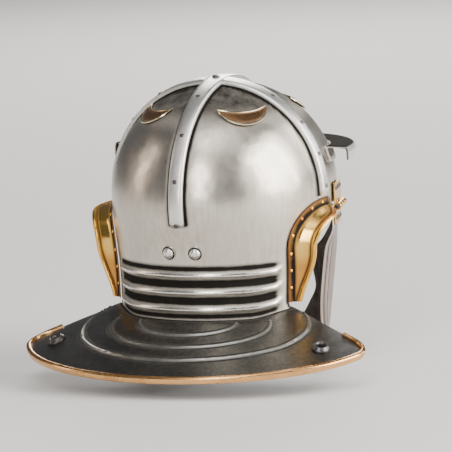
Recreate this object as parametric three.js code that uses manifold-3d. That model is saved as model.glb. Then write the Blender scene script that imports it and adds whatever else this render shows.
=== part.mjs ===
// A cross-braced iron helmet of a Roman legionary, as a scene graph of closed solids.
// Millimetres, +Z up. The wearer faces -Y, and the wearer's right side is -X.
// The origin is the middle of the opening for the head, on the level of the brow edge.
import * as THREE from 'three';
import { mergeVertices } from 'three/addons/utils/BufferGeometryUtils.js';
import Module from 'manifold-3d';

const wasm = await Module();
wasm.setup();

// ---------- driving dimensions ----------
const GAP = 0.35;                 // clearance kept between pieces that touch
const WALL = 2.0;                 // iron plate of the bowl and the neck guard
const BOWL = { halfWidth: 97.5, halfLength: 113, dome: 96, domeBase: 12 };
const NAPE = { level: -91, halfWidth: 94, halfLength: 99.5, settle: 72, sideLift: 6, liftFrom: 34 };
const EAR = { topTurn: 84, backTurn: 60, arch: 34, level: -34 };   // turns in degrees from the back
const RIBS = { levels: [-51.5, -66.5, -81.5], height: 3.4, half: 6, fade: 7, margin: 5.6, above: 10.5 };
const GUARD = { centre: 60, halfWidth: 162, length: 115, edgeTurn: 86, tipLevel: -116, drop: 16, corner: 20 };
const BRACE = {
  width: 18, tip: 13, height: 4.4, crown: 0.55, lift: 0.5, taper: 100, blunt: 1.5,
  sideLine: 12, backEnd: -8, frontEnd: 47, sideEnd: 9.5,
};
const PEAK = {
  endTurn: 98, bottom: 31, top: 44.5, endRise: 5.5, slope: 1, sheet: 2, reach: 32, endReach: 17.5, lift: 0.6,
};
const EARGUARD = {
  band: 6, sheet: 1.4, reach: 21.5, footReach: 8, footLevel: -85, frontTurn: 89.5, frontReach: 5, ease: 30,
  lean: 0.22, lift: 0.65,
};
const BINDING = { inside: 5, cheek: 1.1, nose: 1.6, round: 0.5, start: 0.84 };
const LUNATE = {
  backTurn: 42.5, frontTurn: 131, level: 88.5, radius: 25, squash: 0.72, belly: 0.8, sheet: 1.2,
  lift: 0.55, hornTurn: 88, hornWidth: 0.1,
};
const STUD = { outer: 8, inner: 3.4, height: 4, bevel: 1.5, wall: 2, lift: 0.65, turn: 45.5, along: 0.72 };
const BOSS = { radius: 6, height: 4, side: 12.5, level: -31, lift: 0.85 };
const HINGE = {
  turn: 105, half: 17, barrel: 3.2, bore: 1.75, pin: 1.3, level: -4, leaf: 1.2, up: 17, down: -21,
};
const PIN_HEAD = { radius: 2.3, length: 1.2 };
const KNUCKLE = { middle: 5.8, gap: 0.4, clear: 1.1 };
const CHEEK = { sheet: 1.6, frontWrap: 160, rearWrap: 85, slope: 0.12, leafEnd: 22, ease: 20 };

// ---------- materials ----------
const metal = (color, roughness) => new THREE.MeshStandardMaterial({ color, roughness, metalness: 1 });
const IRON = metal(0xb9b2a6, 0.35);
const DARK_IRON = metal(0x55575a, 0.45);
const BRASS = metal(0xc9a24a, 0.35);
const BRONZE = metal(0x8a6a48, 0.5);

const helmet = new THREE.Group();
helmet.name = 'roman_legionary_helmet';

const rad = THREE.MathUtils.degToRad;
const lerp = THREE.MathUtils.lerp;
const smooth = (x) => THREE.MathUtils.smoothstep(x, 0, 1);
const vec = (x, y, z) => new THREE.Vector3(x, y, z);
const along = (p, ...steps) => steps.reduce((q, [d, s]) => q.addScaledVector(d, s), p.clone());

// ---------- solids from points and faces ----------
function volumeOf(points, faces) {
  return faces.reduce((sum, [a, b, c]) =>
    sum + points[a].dot(points[b].clone().cross(points[c])) / 6, 0);
}

function solid(points, faces) {
  const outward = volumeOf(points, faces) > 0;
  const geometry = new THREE.BufferGeometry();
  const numbers = points.flatMap((p) => [p.x, p.y, p.z]);
  geometry.setAttribute('position', new THREE.Float32BufferAttribute(numbers, 3));
  geometry.setIndex(faces.flatMap(([a, b, c]) => (outward ? [a, b, c] : [a, c, b])));
  return geometry;
}

// A sheet is { points, faces } with its faces towards the outside; it is thickened inwards.
function pointNormals({ points, faces }) {
  const normals = points.map(() => vec(0, 0, 0));
  for (const [a, b, c] of faces) {
    const n = points[b].clone().sub(points[a]).cross(points[c].clone().sub(points[a]));
    [a, b, c].forEach((i) => normals[i].add(n));
  }
  return normals.map((n) => n.normalize());
}

function thicken(sheet, thickness, normals = pointNormals(sheet)) {
  const { points, faces } = sheet;
  const count = points.length;
  const inner = points.map((p, i) => along(p, [normals[i], -thickness]));
  const edges = new Set(faces.flatMap(([a, b, c]) => [`${a},${b}`, `${b},${c}`, `${c},${a}`]));
  const sides = [];
  for (const edge of edges) {
    const [a, b] = edge.split(',').map(Number);
    if (!edges.has(`${b},${a}`)) sides.push([b, a, a + count], [b, a + count, b + count]);
  }
  const back = faces.map(([a, b, c]) => [a + count, c + count, b + count]);
  return solid([...points, ...inner], [...faces, ...back, ...sides]);
}

// rows of points, all of one length; the faces look towards the side where
// (next row) x (next column) points
function gridSheet(rows) {
  const width = rows[0].length;
  const faces = [];
  for (let r = 0; r + 1 < rows.length; r += 1) {
    for (let c = 0; c + 1 < width; c += 1) {
      const [a, b] = [r * width + c, r * width + c + 1];
      const [d, e] = [a + width, b + width];
      faces.push([a, d, e], [a, e, b]);
    }
  }
  return { points: rows.flat(), faces };
}

// quads between neighbouring rings of points; with closed, the last ring meets the first
function walls(rings, closed) {
  const size = rings[0].length;
  const total = rings.length * size;
  const faces = [];
  for (let start = 0; start < (closed ? total : total - size); start += size) {
    for (let c = 0; c < size; c += 1) {
      const [a, b] = [start + c, start + (c + 1) % size];
      const [d, e] = [(a + size) % total, (b + size) % total];
      faces.push([a, b, e], [a, e, d]);
    }
  }
  return faces;
}

function loop(rings) {
  return solid(rings.flat(), walls(rings, true));
}

// Each end is capped. section is a list of [u, v], in the order of a ring's points, and gives
// the caps their triangles.
function sweep(rings, section) {
  const last = (rings.length - 1) * rings[0].length;
  const faces = walls(rings, false);
  const outline = section.map(([u, v]) => new THREE.Vector2(u, v));
  const { area, triangulateShape } = THREE.ShapeUtils;
  for (const [a, b, c] of triangulateShape(outline, [])) {
    const sameWay = area([outline[a], outline[b], outline[c]]) * area(outline) > 0;
    const [p, q, r] = sameWay ? [a, b, c] : [a, c, b];
    faces.push([p, r, q], [p + last, q + last, r + last]);
  }
  return solid(rings.flat(), faces);
}

function add(name, geometry, material) {
  const mesh = new THREE.Mesh(geometry, material);
  mesh.name = name;
  helmet.add(mesh);
}

// ---------- the bowl's surface ----------
// turn is the angle from the back of the helmet, in degrees, growing towards the wearer's left
function bowlPoint(turn, z, out = 0) {
  const { halfWidth, halfLength, dome, domeBase } = BOWL;
  const t = rad(turn);
  let [a, b] = [halfWidth, halfLength];
  if (z >= domeBase) {
    const shrink = Math.sqrt(Math.max(0, 1 - ((z - domeBase) / dome) ** 2));
    [a, b] = [a * shrink, b * shrink];
  } else {
    const down = domeBase - z;
    a = lerp(a, NAPE.halfWidth, smooth(down / (domeBase - NAPE.level)));
    if (Math.cos(t) > 0) b = lerp(b, NAPE.halfLength, smooth(down / NAPE.settle));
  }
  const raised = out + ribHeight(turn, z);
  return vec((a + raised) * Math.sin(t), (b + raised) * Math.cos(t), raisedLevel(turn, z));
}

// the nape and the ribs rise a little towards the ears
function raisedLevel(turn, z) {
  const lift = NAPE.sideLift * smooth((Math.abs(turn) - NAPE.liftFrom) / (EAR.backTurn - NAPE.liftFrom));
  return z + lift * Math.max(0, (EAR.level - z) / (EAR.level - NAPE.level));
}

function domeNormal(p) {
  const { halfWidth, halfLength, dome, domeBase } = BOWL;
  return vec(p.x / halfWidth ** 2, p.y / halfLength ** 2, (p.z - domeBase) / dome ** 2).normalize();
}

function wallNormal(turn, z) {
  const step = 0.5;
  const sideways = bowlPoint(turn + step, z).sub(bowlPoint(turn - step, z));
  const upwards = bowlPoint(turn, z + step).sub(bowlPoint(turn, z - step));
  return upwards.cross(sideways).normalize();
}

function ribHeight(turn, z) {
  const ends = smooth((EAR.backTurn - RIBS.margin - Math.abs(turn)) / RIBS.fade);
  const shape = (level) => Math.max(0, 1 - Math.abs(z - level) / RIBS.half);
  return RIBS.height * ends * RIBS.levels.reduce((sum, level) => sum + smooth(shape(level)), 0);
}

// the lower edge of the bowl in front of the neck guard, with its ear cut-outs
function edgeLevel(turn) {
  const side = (Math.abs(turn) - EAR.topTurn) / (EAR.topTurn - EAR.backTurn);
  const arch = EAR.level + EAR.arch * Math.sqrt(Math.max(0, 1 - side * side));
  return side > 0 ? Math.max(0, arch) : arch;
}

// the neck guard, from the nape (across 0) to its rim (across 1)
function guardPoint(turn, across) {
  const root = bowlPoint(turn, NAPE.level);
  const share = turn / EAR.backTurn;
  const t = rad(GUARD.edgeTurn) * share;
  const rim = vec(
    GUARD.halfWidth * Math.sin(t),
    GUARD.centre + GUARD.length * Math.cos(t),
    GUARD.tipLevel - GUARD.drop * Math.cos(t),
  );
  const fromCorner = GUARD.length * rad(GUARD.edgeTurn) * (1 - Math.abs(share));
  const rounded = Math.max(0, GUARD.corner - fromCorner);
  const pull = GUARD.corner - Math.sqrt(GUARD.corner ** 2 - rounded ** 2);
  const length = rim.distanceTo(root);
  return root.lerp(rim, across * (1 - pull / length));
}

function guardNormal(turn, across) {
  const step = 0.5;
  const sideways = guardPoint(Math.min(turn + step, EAR.backTurn), across)
    .sub(guardPoint(Math.max(turn - step, -EAR.backTurn), across));
  const outwards = guardPoint(turn, across + 0.01).sub(guardPoint(turn, across - 0.01));
  return sideways.cross(outwards).normalize();
}

const mirrored = (turns) => [...turns.slice(1).reverse().map((t) => -t), ...turns];
const spaced = (from, to, steps) => Array.from({ length: steps + 1 }, (_, i) => lerp(from, to, i / steps));

const backTurns = mirrored([...spaced(0, 51, 9), 53.6, 55.8, 57.7, 59.1, 59.8, EAR.backTurn]);
const earTurns = [60.8, 63, 67, 72, 78, 84, 90];
const frontTurns = spaced(97.5, 180, 11);
const guardShares = [0, 0.12, 0.3, 0.55, 0.8, 0.94, 1];

function bowlSheet() {
  const leftFront = [...earTurns, ...frontTurns];
  const turns = [...leftFront.slice(0, -1).reverse().map((t) => -t), ...backTurns, ...leftFront];
  const isBack = (turn) => Math.abs(turn) <= EAR.backTurn;
  const domeLevels = spaced(80, 0, 8).map((a) => BOWL.domeBase + BOWL.dome * Math.sin(rad(a)));
  const upper = turns.map((turn) => {
    const end = edgeLevel(turn);
    return [...domeLevels, lerp(BOWL.domeBase, end, 0.5), end].map((z) => bowlPoint(turn, z));
  });
  const [whole, part] = [RIBS.half, RIBS.half / 2];
  const napeLevels = [
    RIBS.levels[0] + RIBS.above,
    ...RIBS.levels.flatMap((z) => [z + whole, z + part, z, z - part, z - whole]),
  ];
  const lower = turns.filter(isBack).map((turn) => [
    ...napeLevels.map((z) => bowlPoint(turn, z)),
    ...guardShares.map((across) => guardPoint(turn, across)),
  ]);
  const points = [vec(0, 0, BOWL.domeBase + BOWL.dome)];
  const faces = [];
  const columns = turns.map((turn, i) => {
    const extra = isBack(turn) ? lower[turns.filter(isBack).indexOf(turn)] : [];
    return [...upper[i], ...extra].map((p) => points.push(p) - 1);
  });
  columns.forEach((column, i) => {
    const next = columns[(i + 1) % columns.length];
    faces.push([0, column[0], next[0]]);
    for (let r = 0; r + 1 < Math.min(column.length, next.length); r += 1) {
      faces.push([column[r], column[r + 1], next[r + 1]], [column[r], next[r + 1], next[r]]);
    }
  });
  return { points, faces: faces.map(([a, b, c]) => [a, c, b]) };
}

// ---------- crossing braces ----------
// Each station holds a point of the bowl, the way out of the iron and the way across the brace.
function brace(stations) {
  const rings = stations.map(({ point, normal, across, half }) => {
    return braceSection(half).map(([u, v]) => along(point, [across, u], [normal, v + BRACE.lift]));
  });
  return sweep(rings, braceSection(BRACE.width / 2));
}

function braceSection(half) {
  const { height } = BRACE;
  const [crown, edge] = [half * BRACE.crown, height / 2];
  return [[-half, 0], [half, 0], [half, edge], [crown, height], [-crown, height], [-half, edge]];
}

// half the width at a distance from the nearer end, which is rounded off
function braceHalf(fromEnd, fromCrown) {
  const full = lerp(BRACE.width, BRACE.tip, smooth(fromCrown / BRACE.taper)) / 2;
  const round = Math.min(1, (fromEnd + BRACE.blunt) / full);
  return full * Math.sqrt(1 - (1 - round) ** 2);
}

function longBrace() {
  const { domeBase, dome } = BOWL;
  const levelAt = (degrees) => domeBase + dome * Math.sin(rad(degrees));
  const [nearEnd, pastEnd] = [2.5, 7];
  const backLevels = [0, nearEnd, pastEnd, 13].map((d) => BRACE.backEnd + d);
  const frontLevels = [pastEnd, nearEnd, 0].map((d) => BRACE.frontEnd + d);
  const up = [0, 5, ...spaced(10, 90, 8)].map(levelAt);
  const down = spaced(80, 30, 5).map(levelAt);
  const points = [
    ...[...backLevels, ...up].map((z) => bowlPoint(0, z)),
    ...[...down, ...frontLevels].map((z) => bowlPoint(180, z)),
  ];
  return brace(points.map((point) => ({
    point,
    normal: point.z > BOWL.domeBase ? domeNormal(point) : wallNormal(0, point.z),
    across: vec(1, 0, 0),
    half: braceHalf(
      Math.min(point.distanceTo(points[0]), point.distanceTo(points[points.length - 1])),
      Math.abs(point.y),
    ),
  })));
}

// side is +1 for the wearer's left and -1 for the right
function sideBrace(side) {
  const { halfWidth, halfLength, dome, domeBase } = BOWL;
  const shrink = Math.sqrt(1 - (BRACE.sideLine / halfLength) ** 2);
  const clear = BRACE.width / 2 + 2 * GAP;
  const crownAngle = Math.acos(clear / (halfWidth * shrink));
  const endAngle = Math.asin((BRACE.sideEnd - domeBase) / (dome * shrink));
  const nearEnd = [0, 0.03, 0.08].map((a) => endAngle + a);
  const angles = [...nearEnd, ...spaced(10, 70, 6).map(rad), crownAngle];
  const points = angles.map((a) => vec(
    side * halfWidth * shrink * Math.cos(a),
    BRACE.sideLine,
    domeBase + dome * shrink * Math.sin(a),
  ));
  return brace(points.map((point) => {
    const normal = domeNormal(point);
    const slope = vec(-point.z + domeBase, 0, point.x);
    return {
      point,
      normal,
      across: slope.cross(normal).normalize(),
      half: braceHalf(point.distanceTo(points[0]), Math.abs(point.x)),
    };
  }));
}

// ---------- brow peak: a strip folded three times, open below ----------
function browPeak() {
  const { endTurn, bottom, top, endRise, slope, sheet, reach, endReach, lift } = PEAK;
  const onBowl = (turn, out, z) => bowlPoint(turn, z, out);
  const offBowl = (turn, out, z) => bowlPoint(turn, bottom, out).setZ(z);
  const sectionAt = (out) => [
    [onBowl, lift, bottom], [onBowl, lift + sheet, bottom], [onBowl, lift + sheet, top - sheet],
    [offBowl, out - sheet, top - slope - sheet], [offBowl, out - sheet, bottom], [offBowl, out, bottom],
    [offBowl, out, top - slope], [onBowl, lift, top],
  ];
  const turns = [endTurn, ...frontTurns];
  const allTurns = [...turns, ...turns.slice(0, -1).reverse().map((t) => 360 - t)];
  const rings = allTurns.map((turn) => {
    const share = (Math.min(turn, 360 - turn) - endTurn) / (180 - endTurn);
    const out = lerp(endReach, reach, smooth(share));
    const rise = endRise * (1 - share);
    return sectionAt(out).map(([place, off, z]) => place(turn, off, z + rise));
  });
  return sweep(rings, sectionAt(reach).map(([, out, z]) => [out, z]));
}

// ---------- ear guards: a band on the bowl and a flange round the ear ----------
function earGuard(side) {
  const { band, sheet, reach, footReach, footLevel, frontTurn, frontReach, ease, lift } = EARGUARD;
  const archTurns = [frontTurn, ...spaced(87, 69, 6), 67, 65, 63, 61.5, 60.5, EAR.backTurn];
  const edge = [
    ...archTurns.map((turn) => [turn, edgeLevel(turn)]),
    ...spaced(EAR.level, footLevel, 5).slice(1).map((z) => [EAR.backTurn, z]),
  ];
  const points = edge.map(([turn, z]) => bowlPoint(side * turn, z));
  const rings = points.map((p, i) => {
    const ahead = points[Math.min(i + 1, points.length - 1)];
    const behind = points[Math.max(i - 1, 0)];
    const path = ahead.clone().sub(behind).normalize();
    const out = vec(p.x / BOWL.halfWidth ** 2, p.y / BOWL.halfLength ** 2, 0).normalize();
    const inland = out.clone().cross(path).multiplyScalar(side).normalize();
    const lean = vec(side, 0, 0).addScaledVector(inland, -EARGUARD.lean).normalize();
    const start = smooth(p.distanceTo(points[0]) / ease);
    const foot = smooth((EAR.level - p.z) / (EAR.level - footLevel));
    const wide = lerp(lerp(frontReach, reach, start), footReach, foot);
    return [
      along(p, [out, lift]),
      along(p, [out, lift], [inland, band]),
      along(p, [out, lift + sheet], [inland, band]),
      along(p, [out, lift + sheet], [inland, sheet]),
      along(p, [lean, wide], [inland, sheet]),
      along(p, [lean, wide]),
    ];
  });
  return sweep(rings, [[0, 0], [band, 0], [band, sheet], [sheet, sheet], [sheet, reach], [0, reach]]);
}

// ---------- binding folded round the edge of the neck guard ----------
function guardBinding() {
  const { inside, cheek, nose, round, start } = BINDING;
  const [above, below] = [GAP, -WALL - GAP];
  const section = [
    [-inside, above], [-inside, above + cheek], [GAP + nose * round, above + cheek],
    [GAP + nose, -WALL / 2], [GAP + nose * round, below - cheek], [-inside, below - cheek],
    [-inside, below], [GAP, below], [GAP, above],
  ];
  const shares = guardShares.filter((share) => share > start && share < 1);
  const frontEdge = [start, ...shares].map((across) => [EAR.backTurn, across]);
  const half = [...frontEdge, ...backTurns.filter((t) => t >= 0).reverse().map((t) => [t, 1])];
  const stations = [...half, ...half.slice(0, -1).reverse().map(([t, across]) => [-t, across])];
  const points = stations.map(([turn, across]) => guardPoint(turn, across));
  const middle = vec(0, BOWL.halfLength, GUARD.tipLevel);
  const rings = points.map((p, i) => {
    const ahead = points[Math.min(i + 1, points.length - 1)];
    const path = ahead.clone().sub(points[Math.max(i - 1, 0)]).normalize();
    const normal = guardNormal(...stations[i]);
    const out = path.clone().cross(normal).normalize();
    if (out.dot(p.clone().sub(middle)) < 0) out.negate();
    return section.map(([u, v]) => along(p, [out, u], [normal, v]));
  });
  return sweep(rings, section);
}

// turns a sheet's faces towards the way out that a function gives for a point on it
function facing(sheet, wayOut) {
  const [a, b, c] = sheet.faces[0].map((i) => sheet.points[i]);
  const facesOut = b.clone().sub(a).cross(c.clone().sub(a)).dot(wayOut(a)) > 0;
  return facesOut ? sheet : { points: sheet.points, faces: sheet.faces.map(([p, q, r]) => [p, r, q]) };
}

// ---------- crescent plates, horns up ----------
function lunate(turn) {
  const { radius, squash, belly, level, sheet, lift, hornTurn, hornWidth } = LUNATE;
  const middle = Math.asin((level - BOWL.domeBase) / BOWL.dome);
  const rows = spaced(-hornTurn, hornTurn, 14).map((angle) => {
    const hollow = belly * Math.max(hornWidth, Math.cos((angle / hornTurn) * (Math.PI / 2)) ** 0.7);
    return [0, 0.35, 0.7, 1].map((share) => {
      const u = radius * Math.sin(rad(angle));
      const v = -radius * squash * (Math.cos(rad(angle)) - share * hollow);
      const climb = middle + v / BOWL.dome;
      const around = u / (BOWL.halfLength * Math.cos(climb));
      const z = BOWL.domeBase + BOWL.dome * Math.sin(climb);
      const foot = bowlPoint(turn + THREE.MathUtils.radToDeg(around), z);
      return along(foot, [domeNormal(foot), lift + sheet]);
    });
  });
  const plate = facing(gridSheet(rows), (a) => domeNormal(a));
  return thicken(plate, sheet, plate.points.map(domeNormal));
}

// ---------- round pieces ----------
// (radius, angle in degrees, height) about an axis
function roundFrame(base, axis) {
  const turn = new THREE.Quaternion().setFromUnitVectors(vec(0, 0, 1), axis);
  return (radius, angle, height) =>
    vec(radius * Math.cos(rad(angle)), radius * Math.sin(rad(angle)), height).applyQuaternion(turn).add(base);
}

const circle = (steps) => spaced(0, 360, steps).slice(0, -1);
const circleSection = (steps) => circle(steps).map((a) => [Math.cos(rad(a)), Math.sin(rad(a))]);

function mergedPosition(geometry) {
  geometry.deleteAttribute('normal');
  geometry.deleteAttribute('uv');
  return mergeVertices(geometry, 1e-4);
}

function guardStud(side) {
  const { outer, inner, height, bevel, wall, lift, turn, along: share } = STUD;
  const section = [
    [inner, 0], [outer, 0], [outer, wall], [outer - bevel, height], [inner + bevel, height], [inner, wall],
  ];
  const normal = guardNormal(side * turn, share);
  const place = roundFrame(along(guardPoint(side * turn, share), [normal, lift]), normal);
  return loop(circle(16).map((angle) => section.map(([radius, h]) => place(radius, angle, h))));
}

function napeBoss(side) {
  const { radius, height, side: offset, level, lift } = BOSS;
  const turn = THREE.MathUtils.radToDeg(Math.asin((side * offset) / BOWL.halfWidth));
  const foot = bowlPoint(turn, level);
  const normal = wallNormal(turn, level);
  const place = roundFrame(along(foot, [normal, lift]), normal);
  const profile = [[1, 0], [0.94, 0.45], [0.6, 0.87], [0.2, 1]];
  const rings = profile.map(([r, h]) => circle(14).map((angle) => place(radius * r, angle, height * h)));
  return sweep(rings, circleSection(14));
}

// ---------- hinged cheek-pieces ----------
// (forward, out, up) from the bowl's brow edge at the hinge
function hingeFrame(side) {
  const origin = bowlPoint(side * HINGE.turn, 0);
  const t = rad(HINGE.turn);
  const forward = vec(side * BOWL.halfWidth * Math.cos(t), -BOWL.halfLength * Math.sin(t), 0).normalize();
  const out = vec(-side * forward.y, side * forward.x, 0);
  return (u, n, w) => along(origin, [forward, u], [out, n], [vec(0, 0, 1), w]);
}

const PLATE_OUT = GAP + 0.15;
const PIN_OUT = PLATE_OUT + HINGE.barrel;

function manifoldOf(geometry) {
  const merged = mergedPosition(geometry);
  return new wasm.Manifold(new wasm.Mesh({
    numProp: 3,
    vertProperties: Float32Array.from(merged.attributes.position.array),
    triVerts: Uint32Array.from(merged.index.array),
  }));
}

// a block between two corners given as [forward, out, up]
function block([u0, n0, w0], [u1, n1, w1]) {
  const box = new THREE.BoxGeometry(u1 - u0, n1 - n0, w1 - w0);
  return manifoldOf(box.translate((u0 + u1) / 2, (n0 + n1) / 2, (w0 + w1) / 2));
}

function rod(radius, from, to) {
  const cylinder = new THREE.CylinderGeometry(radius, radius, to - from, 18);
  return manifoldOf(cylinder.rotateZ(-Math.PI / 2).translate((from + to) / 2, PIN_OUT, HINGE.level));
}

function placed(manifold, place) {
  const { vertProperties, triVerts, numProp } = manifold.getMesh();
  const points = [];
  for (let i = 0; i < vertProperties.length; i += numProp) {
    points.push(place(...vertProperties.slice(i, i + 3)));
  }
  const faces = [];
  for (let i = 0; i < triVerts.length; i += 3) faces.push([...triVerts.slice(i, i + 3)]);
  return solid(points, faces);
}

function bowlLeaf(side) {
  const { half, barrel, bore, level, leaf, up } = HINGE;
  const start = KNUCKLE.middle + KNUCKLE.gap;
  const clear = level + barrel + KNUCKLE.clear;
  const plate = block([-half, PLATE_OUT, level], [half, PLATE_OUT + leaf, up])
    .subtract(block([-start, -1, level - 1], [start, PIN_OUT, clear]));
  const barrels = rod(barrel, -half, -start).add(rod(barrel, start, half));
  return placed(plate.add(barrels).subtract(rod(bore, -half - 1, half + 1)), hingeFrame(side));
}

function cheekLeaf(side) {
  const { half, barrel, bore, level, leaf, down } = HINGE;
  const [tongue, wide] = [KNUCKLE.middle, half - 1];
  const clear = level - barrel - KNUCKLE.clear;
  const plate = block([-tongue, PLATE_OUT, down], [tongue, PLATE_OUT + leaf, level])
    .add(block([-wide, PLATE_OUT, down], [wide, PLATE_OUT + leaf, clear]));
  return placed(plate.add(rod(barrel, -tongue, tongue)).subtract(rod(bore, -half, half)), hingeFrame(side));
}

function hingePin(side) {
  const { half, pin, level } = HINGE;
  const place = hingeFrame(side);
  const neck = half + KNUCKLE.gap;
  const head = neck + PIN_HEAD.length;
  const ring = ([radius, u]) => circleSection(12).map(([c, s]) =>
    place(u, PIN_OUT + radius * c, level + radius * s));
  const wide = PIN_HEAD.radius;
  const profile = [[wide, -head], [wide, -neck], [pin, -neck], [pin, neck], [wide, neck], [wide, head]];
  const rings = profile.map(ring);
  return sweep(rings, circleSection(12));
}

// outline points are [forward, down]
const CHEEK_FRONT = [
  [28, 8.5], [37, 24], [52, 41], [66, 56], [63, 71],
  [57, 87], [65, 103], [70, 116], [60, 133], [38, 147],
];
const CHEEK_REAR = [
  [-19, 8.5], [-20, 30], [-21, 50], [-21, 70], [-20, 90],
  [-16, 108], [-6, 124], [8, 137], [22, 145], [34, 148],
];

function cheekDepth(u, down) {
  const { frontWrap, rearWrap, slope, leafEnd, ease } = CHEEK;
  const wrap = u > 0 ? u ** 2 / frontWrap : (u ** 2 / rearWrap) * smooth((down - leafEnd) / ease);
  return -wrap - slope * Math.max(0, down - leafEnd);
}

function cheekPlate(side) {
  const place = hingeFrame(side);
  const edge = (points) => new THREE.SplineCurve(points.map(([u, down]) => new THREE.Vector2(u, down)));
  const [front, rear] = [edge(CHEEK_FRONT), edge(CHEEK_REAR)];
  const shares = [0, 0.07, 0.15, 0.25, 0.4, 0.55, 0.7, 0.85, 1];
  const rows = spaced(0, 1, 18).map((step) => {
    const [f, r] = [front.getPoint(step), rear.getPoint(step)];
    return shares.map((share) => {
      const p = r.clone().lerp(f, share);
      return place(p.x, cheekDepth(p.x, p.y), -p.y);
    });
  });
  return thicken(facing(gridSheet(rows), () => vec(side, 0, 0)), CHEEK.sheet);
}

// ---------- the assembly ----------
add('bowl', thicken(bowlSheet(), WALL), IRON);
add('long_brace', longBrace(), IRON);
add('brow_peak', browPeak(), IRON);
add('guard_binding', guardBinding(), BRASS);
for (const [name, side] of [['left', 1], ['right', -1]]) {
  add(`side_brace_${name}`, sideBrace(side), IRON);
  add(`lunate_back_${name}`, lunate(side * LUNATE.backTurn), BRONZE);
  add(`lunate_front_${name}`, lunate(side * LUNATE.frontTurn), BRONZE);
  add(`ear_guard_${name}`, earGuard(side), BRASS);
  add(`guard_stud_${name}`, guardStud(side), DARK_IRON);
  add(`nape_boss_${name}`, napeBoss(side), IRON);
  add(`bowl_leaf_${name}`, bowlLeaf(side), BRASS);
  add(`hinge_pin_${name}`, hingePin(side), DARK_IRON);
  add(`cheek_leaf_${name}`, cheekLeaf(side), BRASS);
  add(`cheek_plate_${name}`, cheekPlate(side), IRON);
}

export default helmet;
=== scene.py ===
"""The looks of a Roman legionary's iron helmet with crossed braces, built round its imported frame.

Metres, +Z up, front towards -Y. A turn is an angle round the helmet from its back, in degrees,
and grows towards the wearer's left. Sides are +1 for the wearer's left and -1 for the right.
"""

import math

import bpy
from bpy.props import FloatProperty, FloatVectorProperty, IntProperty, PointerProperty
from mathutils import Matrix, Vector, noise


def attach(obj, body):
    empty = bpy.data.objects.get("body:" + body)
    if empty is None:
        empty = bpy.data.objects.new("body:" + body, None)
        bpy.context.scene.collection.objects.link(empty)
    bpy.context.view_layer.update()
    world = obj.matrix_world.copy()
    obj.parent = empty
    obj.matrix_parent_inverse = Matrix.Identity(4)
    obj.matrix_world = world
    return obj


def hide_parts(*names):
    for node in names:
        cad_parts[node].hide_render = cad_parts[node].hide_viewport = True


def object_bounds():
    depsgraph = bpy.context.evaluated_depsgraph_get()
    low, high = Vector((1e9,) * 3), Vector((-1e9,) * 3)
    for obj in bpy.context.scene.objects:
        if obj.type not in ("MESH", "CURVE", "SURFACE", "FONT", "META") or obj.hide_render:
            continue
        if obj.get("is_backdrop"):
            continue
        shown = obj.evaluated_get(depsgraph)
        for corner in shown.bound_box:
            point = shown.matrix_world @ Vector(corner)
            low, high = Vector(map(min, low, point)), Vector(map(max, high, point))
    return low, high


bl_info = {
    "name": "Legionary Helmet",
    "version": (1, 0, 0),
    "blender": (4, 5, 0),
    "location": "View3D > Sidebar > Helmet",
    "description": "Builds the finished pieces of a cross-braced legionary helmet round its frame",
    "category": "Object",
}

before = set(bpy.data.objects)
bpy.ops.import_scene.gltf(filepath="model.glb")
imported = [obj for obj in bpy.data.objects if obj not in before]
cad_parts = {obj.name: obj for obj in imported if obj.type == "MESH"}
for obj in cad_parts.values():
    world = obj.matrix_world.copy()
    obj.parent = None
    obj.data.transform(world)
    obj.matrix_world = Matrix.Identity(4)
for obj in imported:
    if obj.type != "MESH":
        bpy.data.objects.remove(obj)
CAD_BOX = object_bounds()
SIDES = (("left", 1), ("right", -1))


# ---------- sizes that repeat the frame's construction ----------
class Bowl:
    half_width = 0.0975
    half_length = 0.113
    dome = 0.096
    base = 0.012
    wall = 0.002


class Nape:
    level = -0.091
    half_width = 0.094
    half_length = 0.0995
    settle = 0.072
    side_lift = 0.006
    lift_from = 34


class Ear:
    top_turn = 84
    back_turn = 60
    arch = 0.034
    # Turns and height within which the bowl gets painted shade beside the ear guards.
    painted_shade_turns = (40, 102)
    painted_shade_level = 0.04


class Ribs:
    levels = (-0.0515, -0.0665, -0.0815)
    height = 0.0034
    half = 0.006
    fade = 7
    margin = 5.6


class Guard:
    centre = 0.060
    half_width = 0.162
    length = 0.115
    edge_turn = math.radians(86)
    tip_level = -0.116
    drop = 0.016
    corner = 0.020
    bound_from = 0.84


class Brace:
    half = 0.009
    tip_half = 0.0065
    taper = 0.1
    tip_height = 0.45
    ends = (0, 0.0006, 0.0015, 0.003, 0.005, 0.008)
    height = 0.0044
    lift = 0.0003
    side_line = 0.012
    back_end = -0.008
    front_end = 0.047
    side_end = 0.0095
    blunt = 0.0015


class Peak:
    fold = 0.0034
    soft = 0.0008
    shine = 0.35
    end_turn = 98
    bottom = 0.031
    top = 0.0445
    end_rise = 0.0055
    slope = 0.001
    sheet = 0.002
    reach = 0.032
    end_reach = 0.0175
    lift = 0.0006


class EarGuard:
    band = 0.006
    fold = 0.0022
    # How strong the painted shade on the band, in the folds, under the roll and on the foot is, and the
    # painted highlights.
    band_painted_shade = 0.5
    fold_painted_shade = 0.85
    roll_soot = 0.7
    foot_painted_shade = 0.85
    middle_painted_highlight = 0.5
    rim_painted_highlight = 0.6
    sheet = 0.0014
    reach = 0.0215
    foot_reach = 0.008
    foot_level = -0.085
    front_turn = 89.5
    front_reach = 0.005
    ease = 0.030
    lean = 0.22
    lift = 0.00065


class Binding:
    overhang = 0.0019
    corner = 0.0021


class Stud:
    turn = 45.5
    across = 0.72
    lift = 0.0003
    section = (
        (0.0034, 0), (0.0080, 0), (0.0080, 0.0014), (0.0075, 0.0022), (0.0068, 0.0027),
        (0.0062, 0.0037), (0.0055, 0.0042), (0.0047, 0.0040), (0.0041, 0.0033), (0.0036, 0.0022),
    )


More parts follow.
